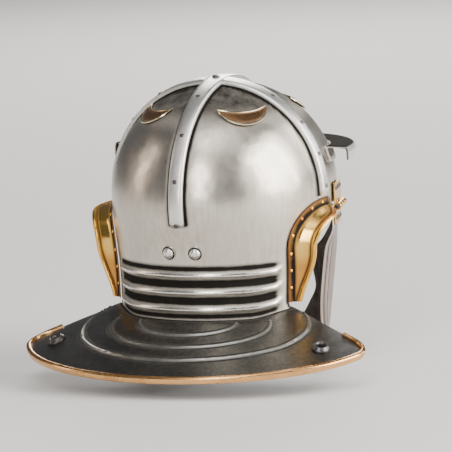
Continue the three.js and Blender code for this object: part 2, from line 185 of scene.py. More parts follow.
class Boss:
    offset = 0.0125
    level = -0.031
    lift = 0.0003
    washer = ((0.0064, 0), (0.0064, 0.0007), (0.0060, 0.0010), (0.0052, 0.0011))
    radius = 0.0050
    rise = 0.0038


class Lunate:
    turns = (("back", 42.5), ("front", 131))
    level = 0.0885
    radius = 0.025
    squash = 0.72
    belly = 0.8
    sheet = 0.0012
    lift = 0.00055
    horn = math.radians(88)
    horn_width = 0.1
    rim = 0.0014
    rim_height = 0.0007
    painted_groove_shade = 0.7


class Hinge:
    turn = 105
    half = 0.017
    barrel = 0.0032
    bore = 0.00175
    pin = 0.0013
    pin_head = ((0.0012, 0.0013), (0.0021, 0.00078), (0.0023, 0))
    level = -0.004
    leaf = 0.0012
    up = 0.017
    down = -0.021
    tongue = 0.0058
    gap = 0.0004
    off = 0.0005
    clear = 0.0011
    bevel = 0.0004
    corner = 0.0012


class Cheek:
    sheet = 0.0016
    border = 0.0065
    border_half = 0.0024
    border_height = 0.0011
    panel_height = 0.0012
    panel_from = 0.009
    panel_rise = 0.014
    plain_end = 0.021
    plain_ease = 0.024
    front_wrap = 0.160
    rear_wrap = 0.085
    slope = 0.12
    leaf_end = 0.022
    ease = 0.020
    front = (
        (28, 8.5), (37, 24), (52, 41), (66, 56), (63, 71),
        (57, 87), (65, 103), (70, 116), (60, 133), (38, 147),
    )
    rear = (
        (-19, 8.5), (-20, 30), (-21, 50), (-21, 70), (-20, 90),
        (-16, 108), (-6, 124), (8, 137), (22, 145), (34, 148),
    )


# ---------- sizes of what the frame leaves out ----------
class Rivets:
    back_of_brace = (-10, 12, 36, 62)
    front_of_brace = (66, 44, 22.5)
    side_of_brace = (3.5, 20, 38, 58)
    crown_size = 1.7
    ear_spacing = 0.0132
    ear_inland = 0.0038
    ear_size = 0.85
    upper_leaf = (0.0115, 0.0110)
    lower_leaf = (-0.0150, 0.0105)


class Hammer:
    """How close together the marks of the hammer are, and how strong beside the deepest."""

    broad = 42
    fine = 95
    fine_share = 0.5
    cheek = 60
    cheek_share = 0.7


class Ridge:
    """The embossed ridges of the neck guard and the step of the plate inside each.

    A line is (share of the guard's depth at the middle, turn at which it meets the nape).
    """

    lines = ((0.67, 62), (0.46, 43), (0.26, 27))
    half = 0.0027
    step_share = 0.35
    step_width = 0.003
    shine = 0.35


class PaintedLight:
    """How wide the painted shade lies in the corners, and how dark it is where it is not full; rib_crest
    is how wide the painted highlight on a rib's crest is.
    """

    brace_gap = 0.0006
    brace = 0.0042
    crown = 0.69
    crown_level = 0.072
    crown_rise = 0.02
    ear = 0.0022
    rib_foot = 0.0047
    rib_crest = 0.0036
    ridge = 0.75
    ridge_gap = 0.0030
    ridge_side = 0.0017
    guard_root = 0.005


# ---------- plain maths ----------
def lerp(a, b, share):
    return a + (b - a) * share


def smooth(x):
    x = min(1, max(0, x))
    return x * x * (3 - 2 * x)


def spaced(start, end, steps):
    return [lerp(start, end, i / steps) for i in range(steps + 1)]


def near(distance, width):
    """1 on a line and 0 from a width away."""
    return smooth(1 - abs(distance) / width)


def path_at(points, i):
    """The way from the point before to the point after."""
    return points[min(i + 1, len(points) - 1)] - points[max(i - 1, 0)]


def on_circle(radius, angle, height):
    return Vector((radius * math.cos(angle), radius * math.sin(angle), height))


def moved(point, *steps):
    """A point moved along pairs of (direction, distance)."""
    return sum((Vector(way) * far for way, far in steps), Vector(point))


# ---------- the surface of the bowl and of the neck guard ----------
def edge_level(turn):
    """The height of the bowl's lower edge in front of the neck guard, with its ear cut-outs."""
    side = (abs(turn) - Ear.top_turn) / (Ear.top_turn - Ear.back_turn)
    if side > 0:
        return 0
    return Ear.arch * (math.sqrt(max(0, 1 - side * side)) - 1)


def rib_share(turn):
    """1 along the ribs and 0 past their ends."""
    return smooth((Ear.back_turn - Ribs.margin - abs(turn)) / Ribs.fade)


def rib_height(turn, z):
    return Ribs.height * rib_share(turn) * sum(near(z - level, Ribs.half) for level in Ribs.levels)


def raised_level(turn, z):
    """The nape and its ribs rise a little towards the ears."""
    lift = Nape.side_lift * smooth((abs(turn) - Nape.lift_from) / (Ear.back_turn - Nape.lift_from))
    return z + lift * max(0, (-Ear.arch - z) / (-Ear.arch - Nape.level))


def dome_level(climb):
    return Bowl.base + Bowl.dome * math.sin(climb)


def bowl_point(turn, z, out=0):
    angle = math.radians(turn)
    a, b = Bowl.half_width, Bowl.half_length
    if z >= Bowl.base:
        shrink = math.sqrt(max(0, 1 - ((z - Bowl.base) / Bowl.dome) ** 2))
        a, b = a * shrink, b * shrink
    else:
        down = Bowl.base - z
        a = lerp(a, Nape.half_width, smooth(down / (Bowl.base - Nape.level)))
        if math.cos(angle) > 0:
            b = lerp(b, Nape.half_length, smooth(down / Nape.settle))
    raised = out + rib_height(turn, z)
    a, b = a + raised, b + raised
    return Vector((a * math.sin(angle), b * math.cos(angle), raised_level(turn, z)))


def dome_normal(p):
    return Vector((
        p.x / Bowl.half_width ** 2,
        p.y / Bowl.half_length ** 2,
        (p.z - Bowl.base) / Bowl.dome ** 2,
    )).normalized()


def wall_normal(turn, z):
    step = 0.5
    rise = step / 1000
    sideways = bowl_point(turn + step, z) - bowl_point(turn - step, z)
    upwards = bowl_point(turn, z + rise) - bowl_point(turn, z - rise)
    return upwards.cross(sideways).normalized()


def guard_point(turn, across):
    """The neck guard, from the nape at across 0 to its rim at across 1."""
    root = bowl_point(turn, Nape.level)
    share = turn / Ear.back_turn
    angle = Guard.edge_turn * share
    rim = Vector((
        Guard.half_width * math.sin(angle),
        Guard.centre + Guard.length * math.cos(angle),
        Guard.tip_level - Guard.drop * math.cos(angle),
    ))
    from_corner = Guard.length * Guard.edge_turn * (1 - abs(share))
    rounded = max(0, Guard.corner - from_corner)
    pull = Guard.corner - math.sqrt(Guard.corner ** 2 - rounded ** 2)
    return root.lerp(rim, across * (1 - pull / (rim - root).length))


def guard_normal(turn, across):
    step, share = 0.5, 0.01
    before, after = max(turn - step, -Ear.back_turn), min(turn + step, Ear.back_turn)
    sideways = guard_point(after, across) - guard_point(before, across)
    outwards = guard_point(turn, across + share) - guard_point(turn, across - share)
    return sideways.cross(outwards).normalized()


# ---------- skins: points and faces that become pieces ----------
# Each point's marks: painted shade, painted highlight and the metal's dark colour.
MARKS = ("grime", "shine", "dark")


class Skin:
    """Points and faces, with a mark from 0 to 1 for painted shade, painted highlight and dark metal at
    each point.
    """

    def __init__(self, points, faces, marks=None):
        self.points = points
        self.faces = faces
        self.marks = marks or [(0, 0, 0)] * len(points)

    def __add__(self, other):
        shift = len(self.points)
        faces = [tuple(i + shift for i in face) for face in other.faces]
        return Skin(self.points + other.points, self.faces + faces, self.marks + other.marks)

    def volume(self):
        total = 0
        for face in self.faces:
            a = self.points[face[0]]
            for i, j in zip(face[1:], face[2:]):
                total += a.dot(self.points[i].cross(self.points[j]))
        return total

    def turned(self):
        return Skin(self.points, [face[::-1] for face in self.faces], self.marks)

    def outward(self):
        """The same closed skin with its faces towards the outside."""
        return self if self.volume() > 0 else self.turned()

    def normals(self):
        sums = [Vector() for _ in self.points]
        for face in self.faces:
            a, b, c = (self.points[i] for i in (face[0], face[1], face[-1]))
            way = (b - a).cross(c - a)
            for i in face:
                sums[i] += way
        return [way.normalized() for way in sums]


def joined(skins):
    total = skins[0]
    for skin in skins[1:]:
        total = total + skin
    return total


def grid_faces(rows, columns, ring=False, loop=False):
    """Quads between neighbouring rows of points; with ring, each row closes on itself."""
    faces = []
    for r in range(rows if loop else rows - 1):
        row, following = r * columns, (r + 1) % rows * columns
        for c in range(columns if ring else columns - 1):
            d = (c + 1) % columns
            faces.append((row + c, row + d, following + d, following + c))
    return faces


def thickened(skin, thickness, inner_painted_shade=0.5, bulge=0.35):
    """A sheet given an inner side and rounded edges; its faces look outwards."""
    normals = skin.normals()
    count = len(skin.points)
    inner = [p - n * thickness for p, n in zip(skin.points, normals)]
    edges = {pair for face in skin.faces for pair in zip(face, face[1:] + face[:1])}
    border = sorted(pair for pair in edges if pair[::-1] not in edges)
    away = {}
    for a, b in border:
        way = (skin.points[b] - skin.points[a]).cross(normals[a]).normalized()
        for i in (a, b):
            away[i] = away.get(i, Vector()) + way
    middle = {}
    nose = []
    for i, way in away.items():
        middle[i] = 2 * count + len(nose)
        nose.append(skin.points[i] - normals[i] * thickness / 2 + way.normalized() * thickness * bulge)
    faces = list(skin.faces) + [tuple(i + count for i in face[::-1]) for face in skin.faces]
    for a, b in border:
        faces += [(b, a, middle[a], middle[b]), (middle[b], middle[a], a + count, b + count)]
    # The inner side is darkened as painted shade.
    inner_marks = [(inner_painted_shade, 0, dark) for _, _, dark in skin.marks]
    # The rounded edges carry a full painted highlight.
    nose_marks = [(0, 1, skin.marks[i][2]) for i in away]
    plate = Skin(skin.points + inner + nose, faces, skin.marks + inner_marks + nose_marks)
    if plate.volume() < 0:
        raise ValueError("a sheet has to look outwards before it gets its thickness")
    return plate


def swept(rings, marks=None):
    """Closed rings joined to a bar; the caps pair each point with the one across from it."""
    size = len(rings[0])
    faces = grid_faces(len(rings), size, ring=True)
    last = (len(rings) - 1) * size
    for i in range(size // 2 - 1):
        cap = (i, i + 1, size - 2 - i, size - 1 - i)
        faces += [cap[::-1], tuple(last + j for j in cap)]
    return Skin([p for ring in rings for p in ring], faces, marks).outward()


def looped(rings):
    """Closed rings joined in a loop, as round a torus."""
    faces = grid_faces(len(rings), len(rings[0]), ring=True, loop=True)
    return Skin([p for ring in rings for p in ring], faces).outward()


def strip_section(corners, half, radius, steps=4):
    """The outline of a folded strip: a path of (u, v) with rounded folds and half thickness half."""
    corners = [Vector(corner) for corner in corners]
    path = [corners[0]]
    for before, corner, after in zip(corners, corners[1:], corners[2:]):
        to, away = (before - corner).normalized(), (after - corner).normalized()
        reach = min(radius, (before - corner).length / 2, (after - corner).length / 2)
        start, end = corner + to * reach, corner + away * reach
        path += [start.lerp(corner, s).lerp(corner.lerp(end, s), s) for s in spaced(0, 1, steps)]
    path.append(corners[-1])
    first, last = (path[1] - path[0]).normalized(), (path[-1] - path[-2]).normalized()
    ends = ((0.95, 0.3), (0.6, 0.8))
    nodes = [(path[0] - first * half * back, half * wide) for back, wide in ends]
    nodes += [(p, half) for p in path]
    nodes += [(path[-1] + last * half * on, half * wide) for on, wide in ends[::-1]]
    left, right = [], []
    for i, (p, wide) in enumerate(nodes):
        ahead = path_at([place for place, _ in nodes], i)
        side = Vector((-ahead.y, ahead.x)).normalized() * wide
        left.append(p + side)
        right.append(p - side)
    return left + right[::-1]


def circle(steps):
    return [math.tau * i / steps for i in range(steps)]


def turned_about(base, axis, profile, steps):
    """A profile of (radius, height) turned about an axis, closed at both ends on the axis."""
    turn = Vector((0, 0, 1)).rotation_difference(Vector(axis))
    rings = [[turn @ on_circle(r, a, h) + Vector(base) for a in circle(steps)] for r, h in profile]
    points = [p for ring in rings for p in ring]
    faces = grid_faces(len(profile), steps, ring=True)
    for row, (_, height) in ((0, profile[0]), (len(profile) - 1, profile[-1])):
        tip = len(points)
        points.append(turn @ Vector((0, 0, height)) + Vector(base))
        start = row * steps
        for i in range(steps):
            face = (start + i, start + (i + 1) % steps, tip)
            faces.append(face if row else face[::-1])
    return Skin(points, faces).outward()


SHARP = math.radians(38)


def shown(context, name, data):
    """A new object of the scene with this mesh, light or camera."""
    thing = bpy.data.objects.new(name, data)
    context.collection.objects.link(thing)
    return thing


def make_piece(context, name, skin, slot, body, *nodes):
    """A plain mesh object that rides on a body and stands for the frame's nodes."""
    mesh = bpy.data.meshes.new(name)
    mesh.from_pydata(skin.points, [], skin.faces)
    mesh.shade_smooth()
    mesh.set_sharp_from_angle(angle=SHARP)
    for i, mark in enumerate(MARKS):
        layer = mesh.attributes.new(mark, "FLOAT", "POINT")
        layer.data.foreach_set("value", [marks[i] for marks in skin.marks])
    mesh.materials.append(finish_of(context, slot))
    settle(shown(context, name, mesh), slot, body, *nodes)


def settle(piece, slot, body, *nodes):
    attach(piece, body)
    if nodes:
        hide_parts(*nodes)


# ---------- finishes ----------
def add_node(tree, kind, settings, values):
    """A new node: its settings first, then the values or links of its sockets."""
    added = tree.nodes.new(kind)
    for name, value in settings.items():
        setattr(added, name, value)
    for key, value in values.items():
        if isinstance(value, bpy.types.NodeSocket):
            tree.links.new(value, added.inputs[key])
        else:
            added.inputs[key].default_value = value
    return added


class Wire:
    """An output of a material's nodes; sums and products of wires add Math nodes."""

    def __init__(self, tree, socket):
        self.tree = tree
        self.socket = socket

    def node(self, kind, settings, values, output=0):
        sockets = {key: value.socket if isinstance(value, Wire) else value
                   for key, value in values.items()}
        return Wire(self.tree, add_node(self.tree, kind, settings, sockets).outputs[output])

    def maths(self, operation, *values):
        return self.node("ShaderNodeMath", {"operation": operation}, dict(enumerate(values)))

    def __add__(self, other):
        return self.maths("ADD", self, other)

    def __sub__(self, other):
        return self.maths("SUBTRACT", self, other)

    def __rsub__(self, other):
        return self.maths("SUBTRACT", other, self)

    def __mul__(self, other):
        return self.maths("MULTIPLY", self, other)

    __radd__ = __add__
    __rmul__ = __mul__

    def held(self):
        return self.node("ShaderNodeClamp", {}, {"Value": self})

    def between(self, low, high):
        """0 below low and 1 above high, with a soft step."""
        ends = {"Value": self, "From Min": low, "From Max": high}
        return self.node("ShaderNodeMapRange", {"interpolation_type": "SMOOTHSTEP"}, ends)

    def mix(self, off, on):
        """A colour that goes from off to on as this wire goes from 0 to 1."""
        off, on = (c if isinstance(c, Wire) else (*c, 1) for c in (off, on))
        return self.node("ShaderNodeMix", {"data_type": "RGBA"}, {0: self, 6: off, 7: on}, output=2)

    def scaled(self, x, y, z):
        return self.node("ShaderNodeMapping", {}, {"Vector": self, "Scale": (x, y, z)})

    def grain(self, scale, detail=3, rough=0.55):
        """Cloudy noise on this wire's places."""
        values = {"Vector": self, "Scale": scale, "Detail": detail, "Roughness": rough}
        return self.node("ShaderNodeTexNoise", {}, values)

    def cells(self, scale):
        """The distance to scattered points, as small dents have their middles."""
        return self.node("ShaderNodeTexVoronoi", {}, {"Vector": self, "Scale": scale})


class Metal:
    """One metal's colours and how its surface is worked."""

    def __init__(self, slot, colour, tarnish, bright, rough, dark=None, streaks=0.5, patches=0.5):
        self.slot = slot
        self.colour = colour
        self.tarnish = tarnish
        self.bright = bright
        self.rough = rough
        self.dark = dark or colour
        self.streaks = streaks
        self.patches = patches


# The near-black of the painted shade and of pits.
SHADE_AND_PIT_BLACK = (0.012, 0.010, 0.008)


def metal_finish(metal):
    """Brushed and planished metal, with painted shade in its grooves and painted highlights along its
    edges.
    """
    name = f"worked_{metal.slot}"
    if name in bpy.data.materials:
        return bpy.data.materials[name]
    made = bpy.data.materials.new(name)
    made.use_nodes = True
    tree = made.node_tree
    shader = tree.nodes["Principled BSDF"]
    empty = Wire(tree, None)
    place = empty.node("ShaderNodeTexCoord", {}, {}, output="Object")
    grime, shine, dark = (
        empty.node("ShaderNodeAttribute", {"attribute_name": mark}, {}, output="Fac") for mark in MARKS
    )
    clouds = place.grain(16, 4)
    patches = place.grain(62, 5, 0.62)
    brushed = place.scaled(330, 330, 14).grain(1, 4, 0.6)
    scratched = place.scaled(42, 42, 900).grain(1, 2, 0.5)
    specks = place.grain(520, 3, 0.6)
    dents = place.cells(95)
    clean = 1 - dark * 0.9
    tarnished = clouds.between(0.42, 0.66) * patches.between(0.34, 0.62) * clean
    tarnished = (tarnished * metal.patches).held()
    pits = specks.between(0.68, 0.78) * patches.between(0.5, 0.66)
    # The painted highlight, broken up by the patches.
    painted_highlight_mask = (shine * (patches.between(0.25, 0.5) * 0.5 + 0.5)).held()
    # Painted shade darkens the metal, and so do its pits.
    shade_and_pits = (grime * (patches * 0.8 + 0.9) + pits * 0.35).held()
    colour = dark.mix(metal.colour, metal.dark)
    colour = (brushed.between(0.35, 0.75) * metal.streaks * 0.55).mix(colour, metal.tarnish)
    colour = tarnished.mix(colour, metal.tarnish)
    colour = painted_highlight_mask.mix(colour, metal.bright)
    colour = shade_and_pits.mix(colour, SHADE_AND_PIT_BLACK)
    rough = brushed * (0.16 * metal.streaks) + patches * 0.14 + tarnished * 0.16 + shade_and_pits * 0.55
    rough = rough + dark * 0.06 - painted_highlight_mask * 0.06 + (metal.rough - 0.12)
    height = brushed * (0.2 * metal.streaks) + scratched * 0.035 + specks * 0.04 - pits * 0.25
    height = height + dents * 0.3
    bump = height.node("ShaderNodeBump", {}, {"Height": height, "Strength": 0.28, "Distance": 0.0012})
    shader.inputs["Specular IOR Level"].default_value = 0.2
    for name, wire in (
        ("Base Color", colour),
        ("Roughness", rough.held()),
        ("Metallic", 1 - shade_and_pits * 0.75),
        ("Normal", bump),
    ):
        tree.links.new(wire.socket, shader.inputs[name])
    return made


# The colour of the painted highlights on the bowl and the braces.
PAINTED_HIGHLIGHT_COLOUR = (0.93, 0.89, 0.82)
METALS = {
    metal.slot: metal
    for metal in (
        Metal(
            "skull_iron", (0.70, 0.65, 0.57), (0.38, 0.29, 0.22), PAINTED_HIGHLIGHT_COLOUR, 0.31,
            dark=(0.11, 0.115, 0.11), patches=0.3,
        ),
        # The braces' dark colour is the black of the painted shade on the brow peak.
        Metal(
            "brace_iron", (0.92, 0.89, 0.84), (0.38, 0.31, 0.25), PAINTED_HIGHLIGHT_COLOUR, 0.40,
            dark=(0.03, 0.03, 0.032), streaks=0.4, patches=0.2,
        ),
        # The cheek iron is a darker copy of the bowl's iron: painted shade over the cheek-pieces.
        Metal("cheek_iron", (0.40, 0.33, 0.30), (0.25, 0.18, 0.15), (0.62, 0.53, 0.49), 0.37),
        Metal(
            "dark_iron", (0.13, 0.125, 0.125), (0.07, 0.05, 0.04), (0.50, 0.47, 0.44), 0.4, streaks=0.3,
        ),
        # The brass's dark colour is the painted shade on the ear guards' bands and feet.
        Metal(
            "brass", (0.92, 0.50, 0.09), (0.50, 0.17, 0.03), (1.0, 0.74, 0.24), 0.22,
            dark=(0.60, 0.24, 0.05), streaks=0.3, patches=0.9,
        ),
        Metal(
            "brass_edging", (0.90, 0.50, 0.20), (0.42, 0.17, 0.06), (1.0, 0.78, 0.44), 0.27, streaks=0.3,
        ),
        Metal("bronze", (0.46, 0.25, 0.12), (0.24, 0.12, 0.06), (0.95, 0.78, 0.52), 0.30, streaks=0.2),
    )
}


def finish_of(context, slot):
    """The finish of a slot, in the colour that the panel gives it."""
    metal = METALS[slot]
    metal.colour = tuple(getattr(context.scene.helmet_colours, slot))
    return metal_finish(metal)


# ---------- geometry nodes: rivets, and bars that follow an edge ----------
class Tree:
    """A geometry node tree with named inputs, and links written as calls."""

    def __init__(self, name, inputs):
        self.tree = bpy.data.node_groups.new(name, "GeometryNodeTree")
        sockets = self.tree.interface
        sockets.new_socket("Geometry", in_out="OUTPUT", socket_type="NodeSocketGeometry")
        inputs = {"Geometry": "NodeSocketGeometry", **inputs, "Finish": "NodeSocketMaterial"}
        for title, kind in inputs.items():
            sockets.new_socket(title, in_out="INPUT", socket_type=kind)
        self.given = self.tree.nodes.new("NodeGroupInput")

    def node(self, kind, settings, values):
        return add_node(self.tree, kind, settings, values).outputs[0]

    def input(self, title):
        return self.given.outputs[title]

    def mark(self, name, kind="FLOAT"):
        return self.node("GeometryNodeInputNamedAttribute", {"data_type": kind}, {"Name": name})

    def close(self, geometry):
        real = self.node("GeometryNodeRealizeInstances", {}, {"Geometry": geometry})
        values = {"Geometry": real, "Material": self.input("Finish")}
        dressed = self.node("GeometryNodeSetMaterial", {}, values)
        last = self.tree.nodes.new("NodeGroupOutput")
        self.tree.links.new(dressed, last.inputs["Geometry"])
        return self.tree


def rivet_tree():
    """Domed heads on points: each stands along the point's facing and has the point's size."""
    build = Tree("Rivets", dict.fromkeys(("Radius", "Height"), "NodeSocketFloat"))
    dome = build.node("GeometryNodeMeshUVSphere", {}, {"Segments": 18, "Rings": 10, "Radius": 1.0})
    radius, height = build.input("Radius"), build.input("Height")
    squash = build.node("ShaderNodeCombineXYZ", {}, {"X": radius, "Y": radius, "Z": height})
    head = build.node("GeometryNodeTransform", {}, {"Geometry": dome, "Scale": squash})
    facing = build.mark("facing", "FLOAT_VECTOR")
    turn = build.node("FunctionNodeAlignRotationToVector", {"axis": "Z"}, {"Vector": facing})
    values = {
        "Points": build.input("Geometry"), "Instance": head, "Rotation": turn, "Scale": build.mark("size"),
    }
    return build.close(build.node("GeometryNodeInstanceOnPoints", {}, values))


def edging_tree():
    """A rounded bar along a line of points; each point's facing says which way the bar looks."""
    build = Tree("Edging", dict.fromkeys(("Width", "Depth", "Corner"), "NodeSocketFloat"))
    line = build.node("GeometryNodeMeshToCurve", {}, {"Mesh": build.input("Geometry")})
    facing = build.mark("facing", "FLOAT_VECTOR")
    line = build.node("GeometryNodeSetCurveNormal", {"mode": "FREE"}, {"Curve": line, "Normal": facing})
    outline = {"Width": build.input("Width"), "Height": build.input("Depth")}
    bar = build.node("GeometryNodeCurvePrimitiveQuadrilateral", {}, outline)
    corners = {"Curve": bar, "Radius": build.input("Corner"), "Count": 5, "Limit Radius": True}
    bar = build.node("GeometryNodeFilletCurve", {"mode": "POLY"}, corners)
    values = {"Curve": line, "Profile Curve": bar, "Scale": build.mark("size"), "Fill Caps": True}
    return build.close(build.node("GeometryNodeCurveToMesh", {}, values))


def grown(context, name, tree, stations, slot, chained=False, **sizes):
    """The plain mesh that a tree makes from stations of (place, facing, size), loose or in one line."""
    seeds = bpy.data.meshes.new(name)
    edges = [(i, i + 1) for i in range(len(stations) - 1)] if chained else []
    seeds.from_pydata([place for place, _, _ in stations], edges, [])
    facing = seeds.attributes.new("facing", "FLOAT_VECTOR", "POINT")
    facing.data.foreach_set("vector", [x for _, way, _ in stations for x in way])
    size = seeds.attributes.new("size", "FLOAT", "POINT")
    size.data.foreach_set("value", [size for _, _, size in stations])
    piece = shown(context, name, seeds)
    modifier = piece.modifiers.new("Build", "NODES")
    modifier.node_group = tree
    for socket in tree.interface.items_tree:
        if socket.in_out == "INPUT" and socket.name in sizes:
            modifier[socket.identifier] = sizes[socket.name]
        elif socket.in_out == "INPUT" and socket.name == "Finish":
            modifier[socket.identifier] = finish_of(context, slot)
    depsgraph = context.evaluated_depsgraph_get()
    mesh = bpy.data.meshes.new_from_object(piece.evaluated_get(depsgraph), depsgraph=depsgraph)
    piece.modifiers.clear()
    piece.data = mesh
    bpy.data.meshes.remove(seeds)
    mesh.name = name
    for mark in ("facing", "size"):
        if mark in mesh.attributes:
            mesh.attributes.remove(mesh.attributes[mark])
    mesh.shade_smooth()
    mesh.set_sharp_from_angle(angle=SHARP)
    return piece


# ---------- the bowl with its ribs and neck guard ----------
def back_turns():
    return spaced(-Ear.back_turn, Ear.back_turn, 120)


def ear_turns(steps=16):
    """Turns from the nape to the top of an ear cut-out, close together where its edge is steep."""
    width = Ear.top_turn - Ear.back_turn
    return [Ear.top_turn - width * math.cos(a) for a in spaced(0, math.pi / 2, steps)]


def ear_line(side):
    """Points round an ear, from in front of it down to the foot of the nape."""
    front = [(turn, 0) for turn in spaced(EarGuard.front_turn, Ear.top_turn + 1, 8)]
    arch = [(turn, edge_level(turn)) for turn in reversed(ear_turns(22))]
    foot = [(Ear.back_turn, z) for z in spaced(-Ear.arch, EarGuard.foot_level, 18)[1:]]
    return [bowl_point(side * turn, z) for turn, z in front + arch + foot]


def ridge_offsets(turn, across, depth):
    """How far a point of the neck guard lies outside each embossed ridge."""
    return [
        (across - level * math.sqrt(1 - (turn / reach) ** 2)) * depth
        for level, reach in Ridge.lines if abs(turn) < reach
    ]


def brace_width(from_crown):
    return lerp(Brace.half, Brace.tip_half, smooth(from_crown / Brace.taper))


def brace_painted_shade(p):
    """Painted shade in the corners where the braces lie on the bowl, and a haze of painted shade round the
    crown.
    """
    gaps = []
    if p.z > (Brace.back_end if p.y > 0 else Brace.front_end):
        gaps.append(abs(p.x) - brace_width(abs(p.y)))
    if p.z > Brace.side_end and abs(p.x) > Brace.half:
        gaps.append(abs(p.y - Brace.side_line) - brace_width(abs(p.x)))
    marks = [near(max(0, gap - PaintedLight.brace_gap), PaintedLight.brace) for gap in gaps]
    return max([PaintedLight.crown * smooth((p.z - PaintedLight.crown_level) / PaintedLight.crown_rise)] + marks)


def ear_painted_shade(p, line):
    """Painted shade where the band of an ear guard ends on the bowl."""
    from_edge = min((p - q).length for q in line)
    return near(from_edge - EarGuard.band, PaintedLight.ear)


def bowl_skin(sizes):
    front = spaced(Ear.top_turn, 360 - Ear.top_turn, 118)[1:-1]
    ears = ear_turns()[1:]
    turns = back_turns() + ears + front + [-turn for turn in reversed(ears)]
    climbs = [math.radians(a) for a in spaced(88, 0, 44)]
    lines = {side: ear_line(side) for _, side in SIDES}
    points, lifts, marks = [Vector((0, 0, Bowl.base + Bowl.dome))], [0], [(0, 0, 0)]

    def add(p, lift, grime, shine, dark):
        points.append(p)
        lifts.append(lift)
        marks.append((min(1, grime), min(1, shine), dark))
        return len(points) - 1

    columns = []
    for turn in turns:
        signed = turn - 360 if turn > 180 else turn
        levels = [dome_level(a) for a in climbs]
        levels += spaced(Bowl.base, edge_level(signed), 16)[1:]
        line = lines[1 if signed > 0 else -1]
        column = []
        for z in levels:
            p = bowl_point(turn, z)
            # Painted shade beside the braces, on the crown and beside the ear guards.
            grime = brace_painted_shade(p)
            if Ear.painted_shade_turns[0] < abs(signed) < Ear.painted_shade_turns[1] and z < Ear.painted_shade_level:
                grime = max(grime, ear_painted_shade(p, line))
            column.append(add(p, 0, grime, 0, 0))
        if abs(signed) <= Ear.back_turn:
            column += nape_column(signed, line, sizes, add)
        columns.append(column)
    faces = []
    for column, following in zip(columns, columns[1:] + columns[:1]):
        faces.append((0, following[0], column[0]))
        for r in range(min(len(column), len(following)) - 1):
            faces.append((column[r], following[r], following[r + 1], column[r + 1]))
    skin = Skin(points, faces, marks)
    for i, way in enumerate(skin.normals()):
        broad, fine = (noise.noise(points[i] * scale) for scale in (Hammer.broad, Hammer.fine))
        beaten = sizes.hammer_depth * (broad + Hammer.fine_share * fine)
        points[i] = points[i] + way * (lifts[i] + beaten)
    return thickened(skin, Bowl.wall)


def nape_column(turn, line, sizes, add):
    """One column of the nape's ribs and of the neck guard below them."""
    column = []
    ends = rib_share(turn)
    for z in spaced(-Ear.arch, Nape.level, 54)[1:]:
        p = bowl_point(turn, z)
        offs = [z - level for level in Ribs.levels]
        # Painted shade at the feet of each rib and a painted highlight on its crest.
        feet = max(near(off + foot, PaintedLight.rib_foot) for off in offs for foot in (-Ribs.half, Ribs.half))
        crest = max(near(off, PaintedLight.rib_crest) for off in offs)
        grime = ends * feet
        if abs(turn) > Ear.painted_shade_turns[0]:
            grime = max(grime, ear_painted_shade(p, line))
        column.append(add(p, 0, grime, ends * crest, 0))
    depth = (guard_point(turn, 1) - guard_point(turn, 0)).length
    for across in spaced(0, 1, 86)[1:]:
        offsets = ridge_offsets(turn, across, depth)
        # Painted highlight on each ridge's crest, painted shade in the grooves beside it and at the
        # guard's root.
        ridge = max((near(offset, Ridge.half) for offset in offsets), default=0)
        gaps = [abs(offset) - PaintedLight.ridge_gap for offset in offsets]
        sides = max((near(gap, PaintedLight.ridge_side) for gap in gaps), default=0)
        root = near(across * depth, PaintedLight.guard_root)
        step = Ridge.step_share * smooth(1 - min(offsets, default=1) / Ridge.step_width)
        lift = sizes.ridge_height * max(ridge, step)
        grime = max(PaintedLight.ridge * sides, root)
        column.append(add(guard_point(turn, across), lift, grime, Ridge.shine * ridge, 1))
    return column


# ---------- braces ----------
# (share of half the width, share of the height, painted highlight) from one side over the top
BRACE_TOP = (
    (-1, 0.42, 0), (-0.98, 0.62, 0.1), (-0.9, 0.82, 0.6), (-0.76, 0.95, 0.4), (-0.5, 1.0, 0),
    (-0.2, 1.03, 0), (0.2, 1.03, 0), (0.5, 1.0, 0), (0.76, 0.95, 0.4), (0.9, 0.82, 0.6),
    (0.98, 0.62, 0.1), (1, 0.42, 0),
)


def brace_skin(stations):
    """A bar of D section; a station is (point, way out, way across, distance to its end, width)."""
    rings, marks = [], []
    for point, out, across, from_end, width in stations:
        round_off = min(1, (from_end + Brace.blunt) / width)
        half = width * math.sqrt(1 - (1 - round_off) ** 2)
        height = Brace.height * lerp(Brace.tip_height, 1, smooth(from_end / 0.005))
        top = [(u * half, v * height, 0, shine) for u, v, shine in BRACE_TOP]
        # The bar's foot is black with painted shade where it lies on the bowl.
        foot = [(u * half, -Brace.lift, 1, 0) for u, _, _ in BRACE_TOP]
        section = top + foot[::-1]
        rings.append([moved(point, (across, u), (out, v + Brace.lift)) for u, v, _, _ in section])
        marks += [(grime, shine, 0) for _, _, grime, shine in section]
    return swept(rings, marks)


def long_brace_points():
    start = math.asin((Brace.front_end - Bowl.base) / Bowl.dome)
    back = [Brace.back_end + d for d in Brace.ends] + spaced(0.003, Bowl.base, 3)[:-1]
    up = [dome_level(a) for a in spaced(0, math.pi / 2, 36)]
    down = [dome_level(a) for a in spaced(math.pi / 2, start + 0.12, 26)[1:]]
    front = [Brace.front_end + d for d in reversed(Brace.ends)]
    return [bowl_point(0, z) for z in back + up] + [bowl_point(180, z) for z in down + front]


def way_out(p):
    """The way out of the bowl at a point on its middle plane or on its dome."""
    return dome_normal(p) if p.z > Bowl.base else wall_normal(0, p.z)


def long_brace():
    points = long_brace_points()
    ends = (points[0], points[-1])
    return brace_skin([
        (p, way_out(p), Vector((1, 0, 0)), min((p - end).length for end in ends), brace_width(abs(p.y)))
        for p in points
    ])


